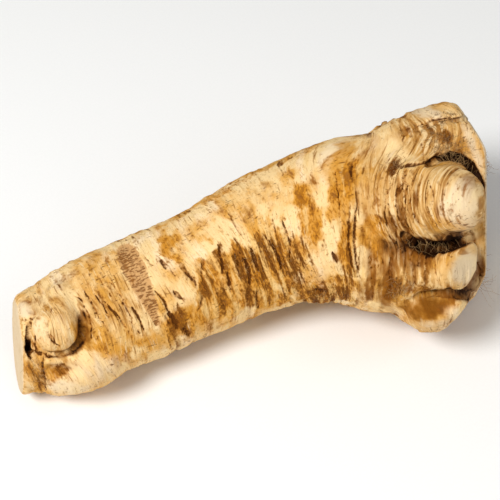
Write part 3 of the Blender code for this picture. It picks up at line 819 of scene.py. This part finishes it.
def marks(points, normals, spaces):
    """Where each mark of the bark lies, and where shade is painted, from 0 to 1 at each point."""
    jitter = np.column_stack([noise(points / JITTER_SIZE, seed) for seed in JITTER_SEEDS])
    drift = np.column_stack([noise(points / DRIFT_SIZE, seed) for seed in DRIFT_SEEDS])
    places = seen(points)
    spots = {kind: places + fine * jitter + broad * drift for kind, (fine, broad) in STRAYS.items()}
    near = facing_share(normals)
    behind = 1.0 - near
    # Two cuts that meet at a blunt edge count together, so that no bark shows along that edge.
    knife = -np.log(np.sum(np.exp([-depth for depth in knife_depths(points)]), axis=0))
    crown = ramp(spaces[0][:, 0], *CROWN_RANGE)
    skin = ramp(knife, *SKIN_DEPTHS)
    rind_start, rind_end = RIND_DEPTHS
    # Brown in the hollows: painted shade over the bark's own brown.
    hollow = near * patch_mask(spots["hollow"], HOLLOW_SHADE_PATCHES, HOLLOW_FIRM)
    # Shade painted in the clefts, darker where the bark is more closed in.
    cleft_shade = np.max([shelter(points, normals, reach) for reach in CLEFT_SHADE_REACHES], axis=0)
    ochre = near * patch_mask(spots["stain"], OCHRE_PATCHES) + behind * back_stains(points, *BACK_OCHRE)
    dirt = near * patch_mask(spots["stain"], DIRT_PATCHES) + behind * back_stains(points, *BACK_DIRT)
    fibre = near * patch_mask(spots["stain"], FIBRE_PATCHES)
    return {
        "ochre": ochre,
        "dirt": dirt,
        "pale": near * patch_mask(spots["pale"], PALE_PATCHES, PALE_FIRM),
        "cork": near * strip_mask(spots["cork"], CORK_STRIP),
        "slit": near * slit_mask(spots["slit"], SLITS),
        "cleft_shade": (1.0 - HOLLOW_LIGHT * hollow) * cleft_shade,
        "cut": 1.0 - skin,
        "rind": ramp(knife, *rind_start) * (1.0 - ramp(knife, *rind_end)),
        "folded": spaces[2],
        "furrow": ramp(-furrowed(points), *FURROW_DEPTHS) * skin,
        "fibre": fibre + behind * (BACK_FIBRE + (1.0 - BACK_FIBRE) * crown),
        "hollow": hollow,
    }


# Fine bark that the mesh has over the solid's relief, in millimetres.
# Wrinkles and furrows have a size along the trunk and a size across it, given twice.
WRINKLE_SIZES = (1.9, 11.0, 11.0)
FURROW_SIZES = (3.0, 20.0, 20.0)
GRAIN_SIZE = 1.8
LUMP_SIZE = 5.0
# Heights on sound bark, and what fully rough bark adds.
WRINKLE_HEIGHTS = (0.09, 0.26)
LUMP_HEIGHTS = (0.10, 0.27)
GRAIN_HEIGHT = 0.07
FOLDED_ROUGH = 0.6  # how rough the folds round the stub are, where frayed bark is 1
MOST_ROUGH = 1.5
PALE_SMOOTH = 0.7  # share by which rubbed skin is smoother
# Furrows in earthy and in frayed bark: mark, depth, and the noise's range from flat to deep.
FINE_FURROWS = (("dirt", 0.60, 0.0, 0.5), ("fibre", 0.40, 0.05, 0.5))
SLIT_DEPTH = 0.80
CORK_DEPTH = 0.35
CORK_GRAIN = 0.12
FINE_SEEDS = {"wrinkle": 51, "furrow": 53, "grain": 55, "lumps": 57}


def fine_height(points, found, spaces):
    """Height of the fine bark over the relief that the solid has, in millimetres."""
    wrinkle = bark_noise(spaces, WRINKLE_SIZES, FINE_SEEDS["wrinkle"])
    furrow = bark_noise(spaces, FURROW_SIZES, FINE_SEEDS["furrow"])
    grain = noise(points / GRAIN_SIZE, FINE_SEEDS["grain"])
    lumps = noise(points / LUMP_SIZE, FINE_SEEDS["lumps"])
    rough = np.clip(found["fibre"] + found["dirt"] + FOLDED_ROUGH * found["folded"], 0.0, MOST_ROUGH)
    smooth = 1.0 - np.clip(PALE_SMOOTH * found["pale"] + found["cut"] + found["hollow"], 0.0, 1.0)
    height = GRAIN_HEIGHT * grain
    for (sound, more), field in ((WRINKLE_HEIGHTS, wrinkle), (LUMP_HEIGHTS, lumps)):
        height += (sound + more * rough) * field
    for mark, depth, flat, deep in FINE_FURROWS:
        height -= depth * found[mark] * ramp(furrow, flat, deep)
    return smooth * height - SLIT_DEPTH * found["slit"] - (CORK_DEPTH - CORK_GRAIN * grain) * found["cork"]


def read_vertices(data, kind):
    """Place or normal of every vertex."""
    flat = np.empty(3 * len(data.vertices))
    data.vertices.foreach_get(kind, flat)
    return flat.reshape(-1, 3)


def set_points(data, points):
    data.vertices.foreach_set("co", points.ravel())
    data.update()


def edges_of(data):
    flat = np.empty(2 * len(data.edges), np.int32)
    data.edges.foreach_get("vertices", flat)
    return flat.reshape(-1, 2)


def slope_of(field, points, here):
    """Gradient of a field of distances, from its value at each point."""
    rises = [field(points + SLOPE_REACH * axis) - here for axis in np.eye(3)]
    return np.stack(rises, axis=1) / SLOPE_REACH


def drift_of(points, edges):
    """Step from each point toward the middle of its neighbours."""
    total = np.zeros_like(points)
    count = np.zeros(len(points))
    for own, other in ((0, 1), (1, 0)):
        np.add.at(total, edges[:, own], points[edges[:, other]])
        np.add.at(count, edges[:, own], 1.0)
    return SMOOTH_SHARE * (total / np.maximum(count, 1.0)[:, None] - points)


def settle(data, field, size, rounds):
    """Draws the mesh onto the surface where the field is zero, and spreads its points along it."""
    points = read_vertices(data, "co")
    edges = edges_of(data)
    for step in range(rounds):
        here = field(points)
        slope = slope_of(field, points, here)
        steep = np.maximum(np.sum(slope * slope, axis=1), LEAST_STEEP)
        move = -(here / steep)[:, None] * slope
        length = np.linalg.norm(move, axis=1)
        move *= np.minimum(1.0, size / np.maximum(length, TINY))[:, None]
        if step < rounds - EXACT_ROUNDS:
            drift = drift_of(points, edges)
            move += drift - (np.sum(drift * slope, axis=1) / steep)[:, None] * slope
        points = points + move
    set_points(data, points)


def knife_depths(points):
    """Depth of each point behind each of the knife cuts."""
    return [shape(points) for name, _, shape, _ in FEATURES if "knife cut" in name]


def knife_depth(points):
    """Depth of each point behind the nearest knife cut."""
    return np.min(knife_depths(points), axis=0)


def finished(points):
    """The form with its bark relief, which gives way toward the cut faces."""
    most = RELIEF_BY_CUT * np.maximum(knife_depth(points), 0.0)
    return form(points) - np.clip(relief(points), -most, most)


def new_object(name, data):
    item = bpy.data.objects.new(name, data)
    bpy.context.scene.collection.objects.link(item)
    return item


def applied(item, name):
    """Mesh of an object with its modifiers or its curve's thickness worked out."""
    graph = bpy.context.evaluated_depsgraph_get()
    made = bpy.data.meshes.new_from_object(item.evaluated_get(graph))
    made.name = name
    return made


def fine_blank(name):
    """Copy of the solid with its doubles merged, in the form's own millimetres, remeshed finer."""
    data = frame["nodes"][NODE].data.copy()
    mesh = bmesh.new()
    mesh.from_mesh(data)
    bmesh.ops.remove_doubles(mesh, verts=mesh.verts, dist=MERGE_DISTANCE * MM)
    bmesh.ops.scale(mesh, vec=(1.0 / MM,) * 3, verts=mesh.verts)
    bmesh.ops.translate(mesh, vec=-Vector(ROW_SHIFT), verts=mesh.verts)
    mesh.to_mesh(data)
    mesh.free()
    data.materials.clear()
    item = new_object(name, data)
    remesh = item.modifiers.new("remesh", "REMESH")
    remesh.mode = "VOXEL"
    remesh.voxel_size = FINE_SIZE
    made = applied(item, name)
    item.modifiers.clear()
    item.data = made
    bpy.data.meshes.remove(data)
    return item


def refine(data):
    """Cuts the edges beside the slits in two, so that their narrow shapes have enough points."""
    places = seen(read_vertices(data, "co"))
    near_slit = slit_mask(places, SLITS, REFINE_REACH) * facing_share(read_vertices(data, "normal")) > 0.0
    mesh = bmesh.new()
    mesh.from_mesh(data)
    edges = [edge for edge in mesh.edges if any(near_slit[corner.index] for corner in edge.verts)]
    bmesh.ops.subdivide_edges(mesh, edges=edges, cuts=1, use_grid_fill=True)
    bmesh.ops.triangulate(mesh, faces=mesh.faces)
    mesh.to_mesh(data)
    mesh.free()


MARK_GROUPS = {
    "marks_a": ("ochre", "dirt", "pale", "cork"),
    "marks_b": ("slit", "cleft_shade", "cut", "rind"),
    "marks_c": ("folded", "furrow", "fibre", "hollow"),
}
SPACES = ("trunk_space", "stub_space")


def keep_values(data, name, kind, field, values):
    """Keeps one attribute with the points of a mesh, for its material to read."""
    layer = data.attributes.new(name, kind, "POINT")
    layer.data.foreach_set(field, np.asarray(values, np.float32).ravel())


def add(tree, kind, inputs=None, **settings):
    """Adds one node with its settings, and fills its inputs with values or with links from other nodes."""
    node = tree.nodes.new(kind)
    for name, value in settings.items():
        setattr(node, name, value)
    for key, value in (inputs or {}).items():
        if isinstance(value, bpy.types.NodeSocket):
            tree.links.new(value, node.inputs[key])
        else:
            node.inputs[key].default_value = value
    return node


def new_material(name):
    material = bpy.data.materials.new(name)
    material.use_nodes = True
    material.node_tree.nodes.clear()
    return material, material.node_tree


# Patterns of the bark: where they are read, length and width in millimetres, and detail of the noise.
# On the bark, the length runs along the root and the width runs round it.
PATTERNS = {
    "tone": ("object", 14.0, 14.0, 4.0),
    "cloud": ("bark", 4.2, 9.0, 4.0),
    "stipple": ("bark", 0.8, 1.5, 2.0),
    "specks": ("object", 2.2, 2.2, 0.0),
    "grain": ("bark", 0.8, 7.0, 3.0),
    "hairline": ("bark", 1.1, 12.0, 2.0),
    "streak": ("bark", 2.4, 17.0, 3.0),
    "band": ("bark", 6.0, 22.0, 2.0),
    # The lines across the cork are too fine to show at their real size, so they are drawn coarser.
    "stripe": ("bark", 2.0, 0.75, 1.0),
}
NOISE_SPREAD = 8.0  # brings the noise texture's values, which keep near their middle, to about -1 to 1
RING_UNEVEN = 0.9  # how far a growth ring strays from round, in millimetres
RING_SCALE = 0.7  # growth rings to a millimetre
RING_DETAIL = 3.0


def spread_out(tree, value, spread):
    """A noise texture's value, widened about the middle of its range."""
    settings = {0: value, 1: spread, 2: -0.5 * spread}
    return add(tree, "ShaderNodeMath", settings, operation="MULTIPLY_ADD").outputs[0]


def noise_at(tree, place, unit, length, width, detail):
    """Noise with features of this length and width, read at a place and spread to about -1 to 1."""
    scale = (unit / length, unit / width, unit / width)
    scaled = add(tree, "ShaderNodeMapping", {"Vector": place, "Scale": scale})
    value = add(tree, "ShaderNodeTexNoise", {"Vector": scaled.outputs[0], "Scale": 1.0, "Detail": detail})
    return spread_out(tree, value.outputs[0], NOISE_SPREAD + detail)


def bark_patterns(tree, folded):
    """Noise textures of the bark. Those that run round the trunk run round the stub near it."""
    spot = add(tree, "ShaderNodeTexCoord").outputs["Object"]
    trunk, stub = (add(tree, "ShaderNodeAttribute", attribute_name=name).outputs["Vector"] for name in SPACES)
    patterns = {}
    for name, (space, *sizes) in PATTERNS.items():
        if space == "object":
            patterns[name] = noise_at(tree, spot, 1.0 / MM, *sizes)
        else:
            both = [noise_at(tree, place, 1.0, *sizes) for place in (trunk, stub)]
            patterns[name] = add(tree, "ShaderNodeMix", {0: folded, 2: both[0], 3: both[1]}).outputs[0]
    # Growth rings show on the knife cuts as rings round the root's middle.
    flat = add(tree, "ShaderNodeVectorMath", {0: trunk, 1: (0.0, 1.0, 1.0)}, operation="MULTIPLY")
    radius = add(tree, "ShaderNodeVectorMath", {0: flat.outputs[0]}, operation="LENGTH").outputs["Value"]
    uneven = weighted_sum(tree, patterns, (("tone", RING_UNEVEN),), radius)
    settings = {"W": uneven, "Scale": RING_SCALE, "Detail": RING_DETAIL}
    rings = add(tree, "ShaderNodeTexNoise", settings, noise_dimensions="1D")
    patterns["rings"] = spread_out(tree, rings.outputs[0], NOISE_SPREAD)
    return patterns


def weighted_sum(tree, sources, terms, total=0.0):
    """Marks and patterns added together, each with its weight."""
    for source, weight in terms:
        settings = {0: sources[source], 1: weight, 2: total}
        total = add(tree, "ShaderNodeMath", settings, operation="MULTIPLY_ADD").outputs[0]
    return total


def finish(tree, sockets):
    """Ends a material with its shader."""
    shader = add(tree, "ShaderNodeBsdfPrincipled", sockets)
    add(tree, "ShaderNodeOutputMaterial", {"Surface": shader.outputs[0]})


def bark_material(settings):
    """Horseradish bark: a thin corky skin over cream flesh, wrinkled round the root as it grew and dried.

    It is matt and cream, with ochre stains where the skin is thick, earth in its furrows and slits,
    painted shade in its clefts, hollows and deep furrows, paler and a little glossier where it is rubbed,
    and fibrous cream flesh on the knife cuts.
    """
    material, tree = new_material("horseradish_bark")
    sources = {}
    for name, parts in MARK_GROUPS.items():
        read = add(tree, "ShaderNodeAttribute", attribute_name=name)
        split = add(tree, "ShaderNodeSeparateColor", {0: read.outputs["Color"]})
        sources.update(zip(parts, [*split.outputs, read.outputs["Alpha"]]))
    sources.update(bark_patterns(tree, sources["folded"]))
    colour = (*settings.bark_colour, 1.0)
    masks = {}
    for name, tint, most, terms, low, high in LAYERS:
        step = {0: weighted_sum(tree, sources, terms), 1: low, 2: high}
        masks[name] = add(tree, "ShaderNodeMapRange", step, interpolation_type="SMOOTHSTEP").outputs[0]
        share = add(tree, "ShaderNodeMath", {0: masks[name], 1: most}, operation="MULTIPLY").outputs[0]
        both = {0: share, 6: colour, 7: shade(tint)}
        colour = add(tree, "ShaderNodeMix", both, data_type="RGBA").outputs[2]
    height = weighted_sum(tree, {**sources, **masks}, HEIGHTS)
    bump = add(tree, "ShaderNodeBump", {"Strength": 1.0, "Distance": MM, "Height": height})
    rough, gloss = (
        add(tree, "ShaderNodeMapRange", {0: sources["pale"], 3: sound, 4: rubbed}).outputs[0]
        for sound, rubbed in (BARK_ROUGHNESS, BARK_GLOSS)
    )
    finish(tree, {
        "Base Color": colour,
        "Roughness": rough,
        "Specular IOR Level": gloss,
        "Normal": bump.outputs[0],
    })
    return material


# Values on sound bark and where it is rubbed.
BARK_ROUGHNESS = (0.85, 0.5)
BARK_GLOSS = (0.06, 0.22)
# Colours laid over the bark's own, first to last: name, colour, most that it covers, the marks and patterns
# that its mask adds up with their weights, and the range over which the mask goes from 0 to 1.
LAYERS = (
    ("warm", "#E3AA58", 0.85, (("tone", 0.9), ("cloud", 0.5)), -1.1, 2.3),
    ("light", "#FCE2B8", 0.85, (("cloud", 0.5), ("band", 0.6)), 0.0, 1.7),
    ("tan", "#D2A05A", 0.80, (("fibre", 3.6), ("cloud", 0.4), ("tone", 0.2)), 0.3, 2.3),
    ("fine", "#C48C40", 0.42,
     (("grain", 0.8), ("fibre", 0.8), ("dirt", 0.4), ("cloud", 0.3)), 0.4, 2.2),
    ("wash", "#D6983A", 0.80,
     (("ochre", 2.0), ("dirt", 1.6), ("cloud", 0.6), ("tone", 0.5)), 0.3, 2.2),
    ("stain", "#C7821E", 0.85,
     (("ochre", 2.5), ("dirt", 1.5), ("cloud", 0.8), ("stipple", 0.3)), 1.3, 4.0),
    ("rubbed", "#EFD7B0", 0.82, (("pale", 2.6), ("cloud", 0.4)), 0.5, 2.6),
    ("stain_spots", "#8F520E", 0.70,
     (("ochre", 1.6), ("dirt", 1.6), ("pale", -1.2), ("cloud", 0.7), ("stipple", 0.7)), 2.2, 3.7),
    ("strips", "#EBC17A", 0.60, (("dirt", 1.8), ("streak", -1.1), ("cloud", -0.3)), 1.6, 2.9),
    ("light_fibre", "#F2D6A4", 0.62,
     (("fibre", 1.8), ("hairline", -0.9), ("grain", -0.6), ("dirt", -0.8)), 1.5, 3.1),
    # Earth in the furrows of the bark, a little darker where the relief's furrows are deep: painted shade.
    ("furrow", "#90581A", 0.88,
     (("dirt", 2.6), ("streak", 1.0), ("stipple", 0.3), ("furrow", 0.5)), 1.3, 3.2),
    ("furrow_dark", "#542605", 0.92,
     (("dirt", 2.6), ("streak", 1.0), ("stipple", 0.6), ("furrow", 0.5)), 2.4, 4.1),
    # Painted shade down in the furrows of the relief, less on rubbed skin.
    ("furrow_shade", "#A0651F", 0.50, (("furrow", 1.9), ("pale", -1.0), ("cloud", 0.6)), 0.8, 2.5),
    ("fibre", "#A46C2C", 0.74,
     (("fibre", 2.5), ("pale", -1.0), ("hairline", 1.1), ("grain", 0.6)), 1.7, 3.5),
    ("fibre_dark", "#613510", 0.80,
     (("fibre", 2.4), ("pale", -1.0), ("hairline", 1.1), ("stipple", 0.3)), 3.1, 4.4),
    ("pores", "#A5702B", 0.34,
     (("stipple", 1.0), ("fibre", 0.4), ("ochre", 0.5), ("dirt", 0.6), ("pale", -0.6)), 0.5, 2.2),
    ("hairlines", "#8A531A", 0.48,
     (("dirt", 1.3), ("pale", -1.0), ("hairline", 1.1), ("stipple", 0.3)), 2.8, 3.7),
    ("specks", "#86501A", 0.45,
     (("dirt", 0.3), ("pale", -1.0), ("specks", 1.0), ("cloud", 0.3)), 2.4, 3.0),
    ("cork", "#CB9860", 0.88, (("cork", 2.6), ("stipple", 0.2), ("cloud", 0.3)), 0.5, 2.0),
    ("cork_lines", "#7A481B", 0.80, (("cork", 2.2), ("stripe", 1.0), ("tone", 0.5)), 1.6, 3.4),
    # Hollows: painted shade over the bark's own brown, darkest in their middle.
    ("hollow", "#A2671C", 0.90, (("hollow", 2.4), ("cloud", 0.3)), 0.3, 2.5),
    ("hollow_shade_dark", "#6C3C08", 0.75, (("hollow", 2.2), ("cloud", 0.6), ("tone", 0.6)), 1.4, 3.2),
    ("slit_edge", "#965A19", 0.75, (("slit", 2.4), ("stipple", 0.3), ("cloud", 0.4)), 0.4, 1.9),
    ("slit", "#4A2408", 0.88, (("slit", 2.5), ("stipple", 0.4), ("cloud", 0.3)), 1.4, 2.5),
    ("flesh", "#DAC09A", 1.0, (("cut", 1.0),), 0.3, 0.7),
    ("flesh_rings", "#C9A570", 0.45, (("cut", 2.0), ("rings", 0.6), ("cloud", 0.4)), 2.0, 3.2),
    ("flesh_fibres", "#E6D2AE", 0.45, (("cut", 2.0), ("stipple", 0.6), ("specks", 0.5)), 2.0, 3.8),
    ("rind", "#B9843F", 0.60, (("rind", 1.6), ("stipple", 0.4)), 0.9, 1.9),
    # Shade painted in the clefts: brown on their walls, near black at their bottoms.
    ("cleft", "#7A4511", 0.88, (("cleft_shade", 2.8), ("cloud", 0.25)), 0.8, 2.2),
    ("deep_cleft_shade", "#260F03", 0.95, (("cleft_shade", 2.8), ("stipple", 0.15)), 1.7, 2.7),
)
# Heights in millimetres that only the light shows, because they are too fine for the mesh.
HEIGHTS = (
    ("grain", 0.015),
    ("streak", 0.05),
    ("cloud", 0.06),
    ("stipple", 0.02),
    ("furrow_dark", -0.28),
    ("fibre", -0.12),
    ("fibre_dark", -0.22),
    ("hairlines", -0.12),
    ("specks", -0.10),
    ("slit", -0.35),
    ("cork_lines", -0.20),
)


def hair_material():
    """Root hair and frayed bark fibre: dry, thin and matt, from straw to brown, each hair of one tone."""
    material, tree = new_material("root_hair")
    read = add(tree, "ShaderNodeAttribute", attribute_name="hair_tone")
    both = {0: read.outputs["Fac"], 6: shade("#CBA064"), 7: shade("#5E3612")}
    tint = add(tree, "ShaderNodeMix", both, data_type="RGBA")
    finish(tree, {"Base Color": tint.outputs[2], "Roughness": 0.7})
    return material


# Hairs and frayed fibres: patch of the facing side where they grow, count, shortest and longest, how much
# they stand up from the bark, and the share of brown ones.
HAIRS = (
    ((86.9, 39.5, 10.1, 3.4, -24.0, 1.0), 100, 2.5, 7.0, 0.50, 0.60),
    ((79.0, 2.5, 11.8, 2.5, 6.0, 1.0), 70, 2.5, 8.0, 0.55, 0.40),
    ((82.3, 45.8, 9.2, 4.6, -20.0, 1.0), 200, 1.5, 4.5, 0.25, 0.45),
    ((82.3, 55.4, 5.0, 2.1, -8.0, 1.0), 60, 1.0, 3.0, 0.35, 0.60),
    ((96.2, 31.9, 2.1, 7.6, -20.0, 1.0), 40, 1.0, 2.6, 0.35, 0.35),
    ((98.3, -7.6, 1.7, 6.7, 0.0, 1.0), 8, 1.5, 3.5, 0.50, 0.45),
    ((94.9, -14.3, 2.5, 2.1, 0.0, 1.0), 8, 6.0, 12.0, 0.60, 0.30),
    ((59.6, 35.3, 4.6, 2.9, 10.0, 1.0), 60, 1.0, 3.0, 0.35, 0.80),
    ((63.0, -16.0, 6.3, 3.8, 10.0, 1.0), 80, 1.0, 3.5, 0.35, 0.70),
    ((-89.0, -51.2, 4.2, 7.1, 10.0, 1.0), 80, 0.8, 2.4, 0.40, 0.50),
    ((5.0, -2.5, 12.6, 12.6, 0.0, 1.0), 120, 0.8, 2.4, 0.30, 0.70),
    ((35.7, -18.9, 10.1, 2.5, 0.0, 1.0), 50, 0.8, 2.5, 0.40, 0.60),
)
HAIR_STEPS = 7  # points of each hair
HAIR_RADIUS = 0.07
HAIR_END = 0.35  # thickness of a hair at its end, as a share of that at its root
HAIR_CURL = 0.25  # how much a hair turns at each of its points
HAIR_TONES = 0.5  # straw hairs have tones from 0 to this, and brown ones from this to 1
HAIR_CLEAR = 0.12  # least distance of a hair from the bark once it has left it


def hair_paths(points, normals, lengths, stand, random):
    """Paths of hairs that leave the bark at these points and wander off beside it."""
    count = len(points)
    loose = random.normal(size=(count, 3))
    loose -= np.sum(loose * normals, axis=1)[:, None] * normals
    loose /= np.linalg.norm(loose, axis=1)[:, None]
    way = stand * normals + (1.0 - stand) * loose
    way /= np.linalg.norm(way, axis=1)[:, None]
    step = (lengths / (HAIR_STEPS - 1))[:, None]
    place = points - HAIR_CLEAR * normals
    paths = [place]
    for _ in range(HAIR_STEPS - 1):
        place = place + step * way
        here = finished(place)
        slope = slope_of(finished, place, here)
        place = place + np.maximum(HAIR_CLEAR - here, 0.0)[:, None] * slope
        paths.append(place)
        way = way + HAIR_CURL * random.normal(size=(count, 3))
        way /= np.linalg.norm(way, axis=1)[:, None]
    return np.stack(paths, axis=1)


class RootSettings(bpy.types.PropertyGroup):
    """Sizes and colours of the root."""

    fine_relief: FloatProperty(
        name="Fine relief",
        description="Height of the wrinkles and depth of the slits, as a share of the real ones",
        default=1.0,
        min=0.0,
        max=2.0,
        subtype="FACTOR",
    )
    hair_share: FloatProperty(
        name="Hairs",
        description="Number of hairs, as a share of the real number",
        default=1.0,
        min=0.1,
        max=2.0,
        subtype="FACTOR",
    )
    hair_seed: IntProperty(
        name="Hair seed",
        description="Start of the random places and shapes of the hairs",
        default=4,
        min=0,
    )
    bark_colour: FloatVectorProperty(
        name="Bark",
        description="Colour of the clean bark",
        default=hex_colour("#F4D196"),
        min=0.0,
        max=1.0,
        size=3,
        subtype="COLOR",
    )


class StageSettings(bpy.types.PropertyGroup):
    """Floor, light and camera."""

    floor_size: FloatProperty(
        name="Floor",
        description="Width of the floor",
        default=6.0,
        min=1.0,
        unit="LENGTH",
    )
    lens: FloatProperty(
        name="Lens",
        description="Focal length of the camera",
        default=100.0,
        min=20.0,
        unit="CAMERA",
    )


class ROOT_OT_body(bpy.types.Operator):
    """Makes the root from its solid, with fine bark"""

    bl_idname = "root.body"
    bl_label = "Root"

    def execute(self, context):
        settings = context.scene.root_settings
        root = fine_blank(ROOT)
        data = root.data
        refine(data)
        settle(data, finished, FINE_SIZE, SETTLE_ROUNDS)
        points = read_vertices(data, "co")
        normals = read_vertices(data, "normal")
        place, offset, _ = on_line(points)
        spaces = bark_spaces(points, place, offset)
        found = marks(points, normals, spaces)
        height = settings.fine_relief * fine_height(points, found, spaces)
        points = points + height[:, None] * normals
        points[:, 2] = np.maximum(points[:, 2], 0.0)
        set_points(data, (points + ROW_SHIFT) * MM)
        for face in data.polygons:
            face.use_smooth = True
        for name, parts in MARK_GROUPS.items():
            keep_values(data, name, "FLOAT_COLOR", "color", np.column_stack([found[part] for part in parts]))
        for name, space in zip(SPACES, spaces):
            keep_values(data, name, "FLOAT_VECTOR", "vector", space)
        data.materials.append(bark_material(settings))
        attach(root, "root")
        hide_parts(NODE)
        return {"FINISHED"}


class ROOT_OT_hairs(bpy.types.Operator):
    """Grows root hairs and frayed fibres in the clefts and on the rough places of the root"""

    bl_idname = "root.hairs"
    bl_label = "Root hairs"

    def execute(self, context):
        settings = context.scene.root_settings
        data = bpy.data.objects[ROOT].data
        random = np.random.default_rng(settings.hair_seed)
        points = read_vertices(data, "co") / MM - ROW_SHIFT
        normals = read_vertices(data, "normal")
        near = facing_share(normals)
        places = seen(points)
        curve = bpy.data.curves.new("root_hairs", "CURVE")
        curve.dimensions = "3D"
        curve.bevel_depth = HAIR_RADIUS * MM
        curve.bevel_resolution = 0  # the fewest sides that a tube can have
        tones = []
        for patch, full_count, shortest, longest, stand, brown in HAIRS:
            weight = near * patch_mask(places, (patch,))
            count = int(full_count * settings.hair_share)
            chosen = random.choice(len(points), size=count, p=weight / weight.sum())
            lengths = random.uniform(shortest, longest, size=count)
            paths = hair_paths(points[chosen], normals[chosen], lengths, stand, random)
            straw = random.uniform(0.0, HAIR_TONES, size=count)
            tones += list(straw + HAIR_TONES * (random.uniform(size=count) < brown))
            for path in paths:
                spline = curve.splines.new("POLY")
                spline.points.add(HAIR_STEPS - 1)
                row = np.column_stack(((path + ROW_SHIFT) * MM, np.ones(HAIR_STEPS)))
                spline.points.foreach_set("co", row.ravel())
                spline.points.foreach_set("radius", np.linspace(1.0, HAIR_END, HAIR_STEPS))
        drawn = new_object("root_hairs", curve)
        made = applied(drawn, "root_hairs")
        bpy.data.objects.remove(drawn, do_unlink=True)
        keep_values(made, "hair_tone", "FLOAT", "value", np.repeat(tones, len(made.vertices) // len(tones)))
        made.materials.clear()
        made.materials.append(hair_material())
        hairs = new_object("root_hairs", made)
        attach(hairs, "root")
        return {"FINISHED"}


class ROOT_OT_stage(bpy.types.Operator):
    """Makes the floor, the lights and the camera"""

    bl_idname = "root.stage"
    bl_label = "Stage"

    def execute(self, context):
        stage = context.scene.stage_settings
        mesh = bmesh.new()
        bmesh.ops.create_grid(mesh, x_segments=1, y_segments=1, size=0.5 * stage.floor_size)
        data = bpy.data.meshes.new("floor")
        mesh.to_mesh(data)
        mesh.free()
        data.materials.append(floor_material())
        floor = new_object("floor", data)
        for name, azimuth, elevation, distance, size, power in LIGHTS:
            light = bpy.data.lights.new(name, "AREA")
            light.shape = "DISK"
            light.size = size
            light.energy = power
            look_at_root(new_object(name, light), azimuth, elevation, distance)
        world = bpy.data.worlds.new("studio")
        world.use_nodes = True
        backdrop = world.node_tree.nodes["Background"]
        backdrop.inputs["Color"].default_value = shade("#FFFFFF")
        backdrop.inputs["Strength"].default_value = WORLD_STRENGTH
        context.scene.world = world
        camera = bpy.data.cameras.new("camera")
        camera.lens = stage.lens
        camera.sensor_width = SENSOR
        camera.clip_end = CLIP_END
        item = new_object("camera", camera)
        look_at_root(item, FACING_TURN, FACING_LIFT, EYE_DISTANCE * MM)
        context.scene.camera = item
        context.scene.view_settings.view_transform = "Standard"
        return {"FINISHED"}


SENSOR = 36.0  # width of the camera's sensor, in millimetres
CLIP_END = 20.0  # metres that the camera sees
WORLD_STRENGTH = 0.27
# Lights: name, azimuth and elevation in degrees, distance and width in metres and power in watts.
LIGHTS = (
    ("soft_key", -70.0, 52.0, 1.2, 0.45, 13.4),
    ("soft_fill", 50.0, 35.0, 1.4, 1.2, 4.4),
)


def look_at_root(item, azimuth, elevation, distance):
    """Puts a light or the camera on one side of the root, this many metres away and turned to it."""
    turn = math.radians(azimuth)
    lift = math.radians(elevation)
    back = Vector((math.sin(turn) * math.cos(lift), -math.cos(turn) * math.cos(lift), math.sin(lift)))
    item.location = Vector((np.array(FACING_FROM) + ROW_SHIFT) * MM) + distance * back
    item.rotation_euler = back.to_track_quat("Z", "Y").to_euler()


def floor_material():
    """Matt white backdrop paper: smooth pulp board, which gives a plain pale ground and an even bounce."""
    material, tree = new_material("backdrop_paper")
    spot = add(tree, "ShaderNodeTexCoord").outputs["Object"]
    # Paper fibre is about 0.05 mm wide, too fine to show, so it is drawn 1 mm coarse.
    fibre = add(tree, "ShaderNodeTexNoise", {"Vector": spot, "Scale": 1.0 / MM, "Detail": 2.0})
    both = {0: fibre.outputs["Fac"], 6: shade("#F4F4F2"), 7: shade("#FAFAF8")}
    tint = add(tree, "ShaderNodeMix", both, data_type="RGBA")
    finish(tree, {"Base Color": tint.outputs[2], "Roughness": 0.85})
    return material


class ROOT_PT_panel(bpy.types.Panel):
    """Buttons and settings for the root and its stage"""

    bl_idname = "ROOT_PT_panel"
    bl_label = "Horseradish root"
    bl_space_type = "VIEW_3D"
    bl_region_type = "UI"
    bl_category = "Root"

    def draw(self, context):
        layout = self.layout
        for group in (context.scene.root_settings, context.scene.stage_settings):
            for name in group.__annotations__:
                layout.prop(group, name)
        for piece in (ROOT_OT_body, ROOT_OT_hairs, ROOT_OT_stage):
            layout.operator(piece.bl_idname)


CLASSES = (RootSettings, StageSettings, ROOT_OT_body, ROOT_OT_hairs, ROOT_OT_stage, ROOT_PT_panel)


def register():
    for item in CLASSES:
        bpy.utils.register_class(item)
    bpy.types.Scene.root_settings = PointerProperty(type=RootSettings)
    bpy.types.Scene.stage_settings = PointerProperty(type=StageSettings)


def unregister():
    del bpy.types.Scene.stage_settings
    del bpy.types.Scene.root_settings
    for item in reversed(CLASSES):
        bpy.utils.unregister_class(item)


def main():
    for item in list(bpy.data.objects):
        if item.name in ("Cube", "Light", "Camera"):
            bpy.data.objects.remove(item, do_unlink=True)
    register()
    bpy.ops.root.body()
    bpy.ops.root.hairs()
    bpy.ops.root.stage()


if __name__ == "__main__":
    main()
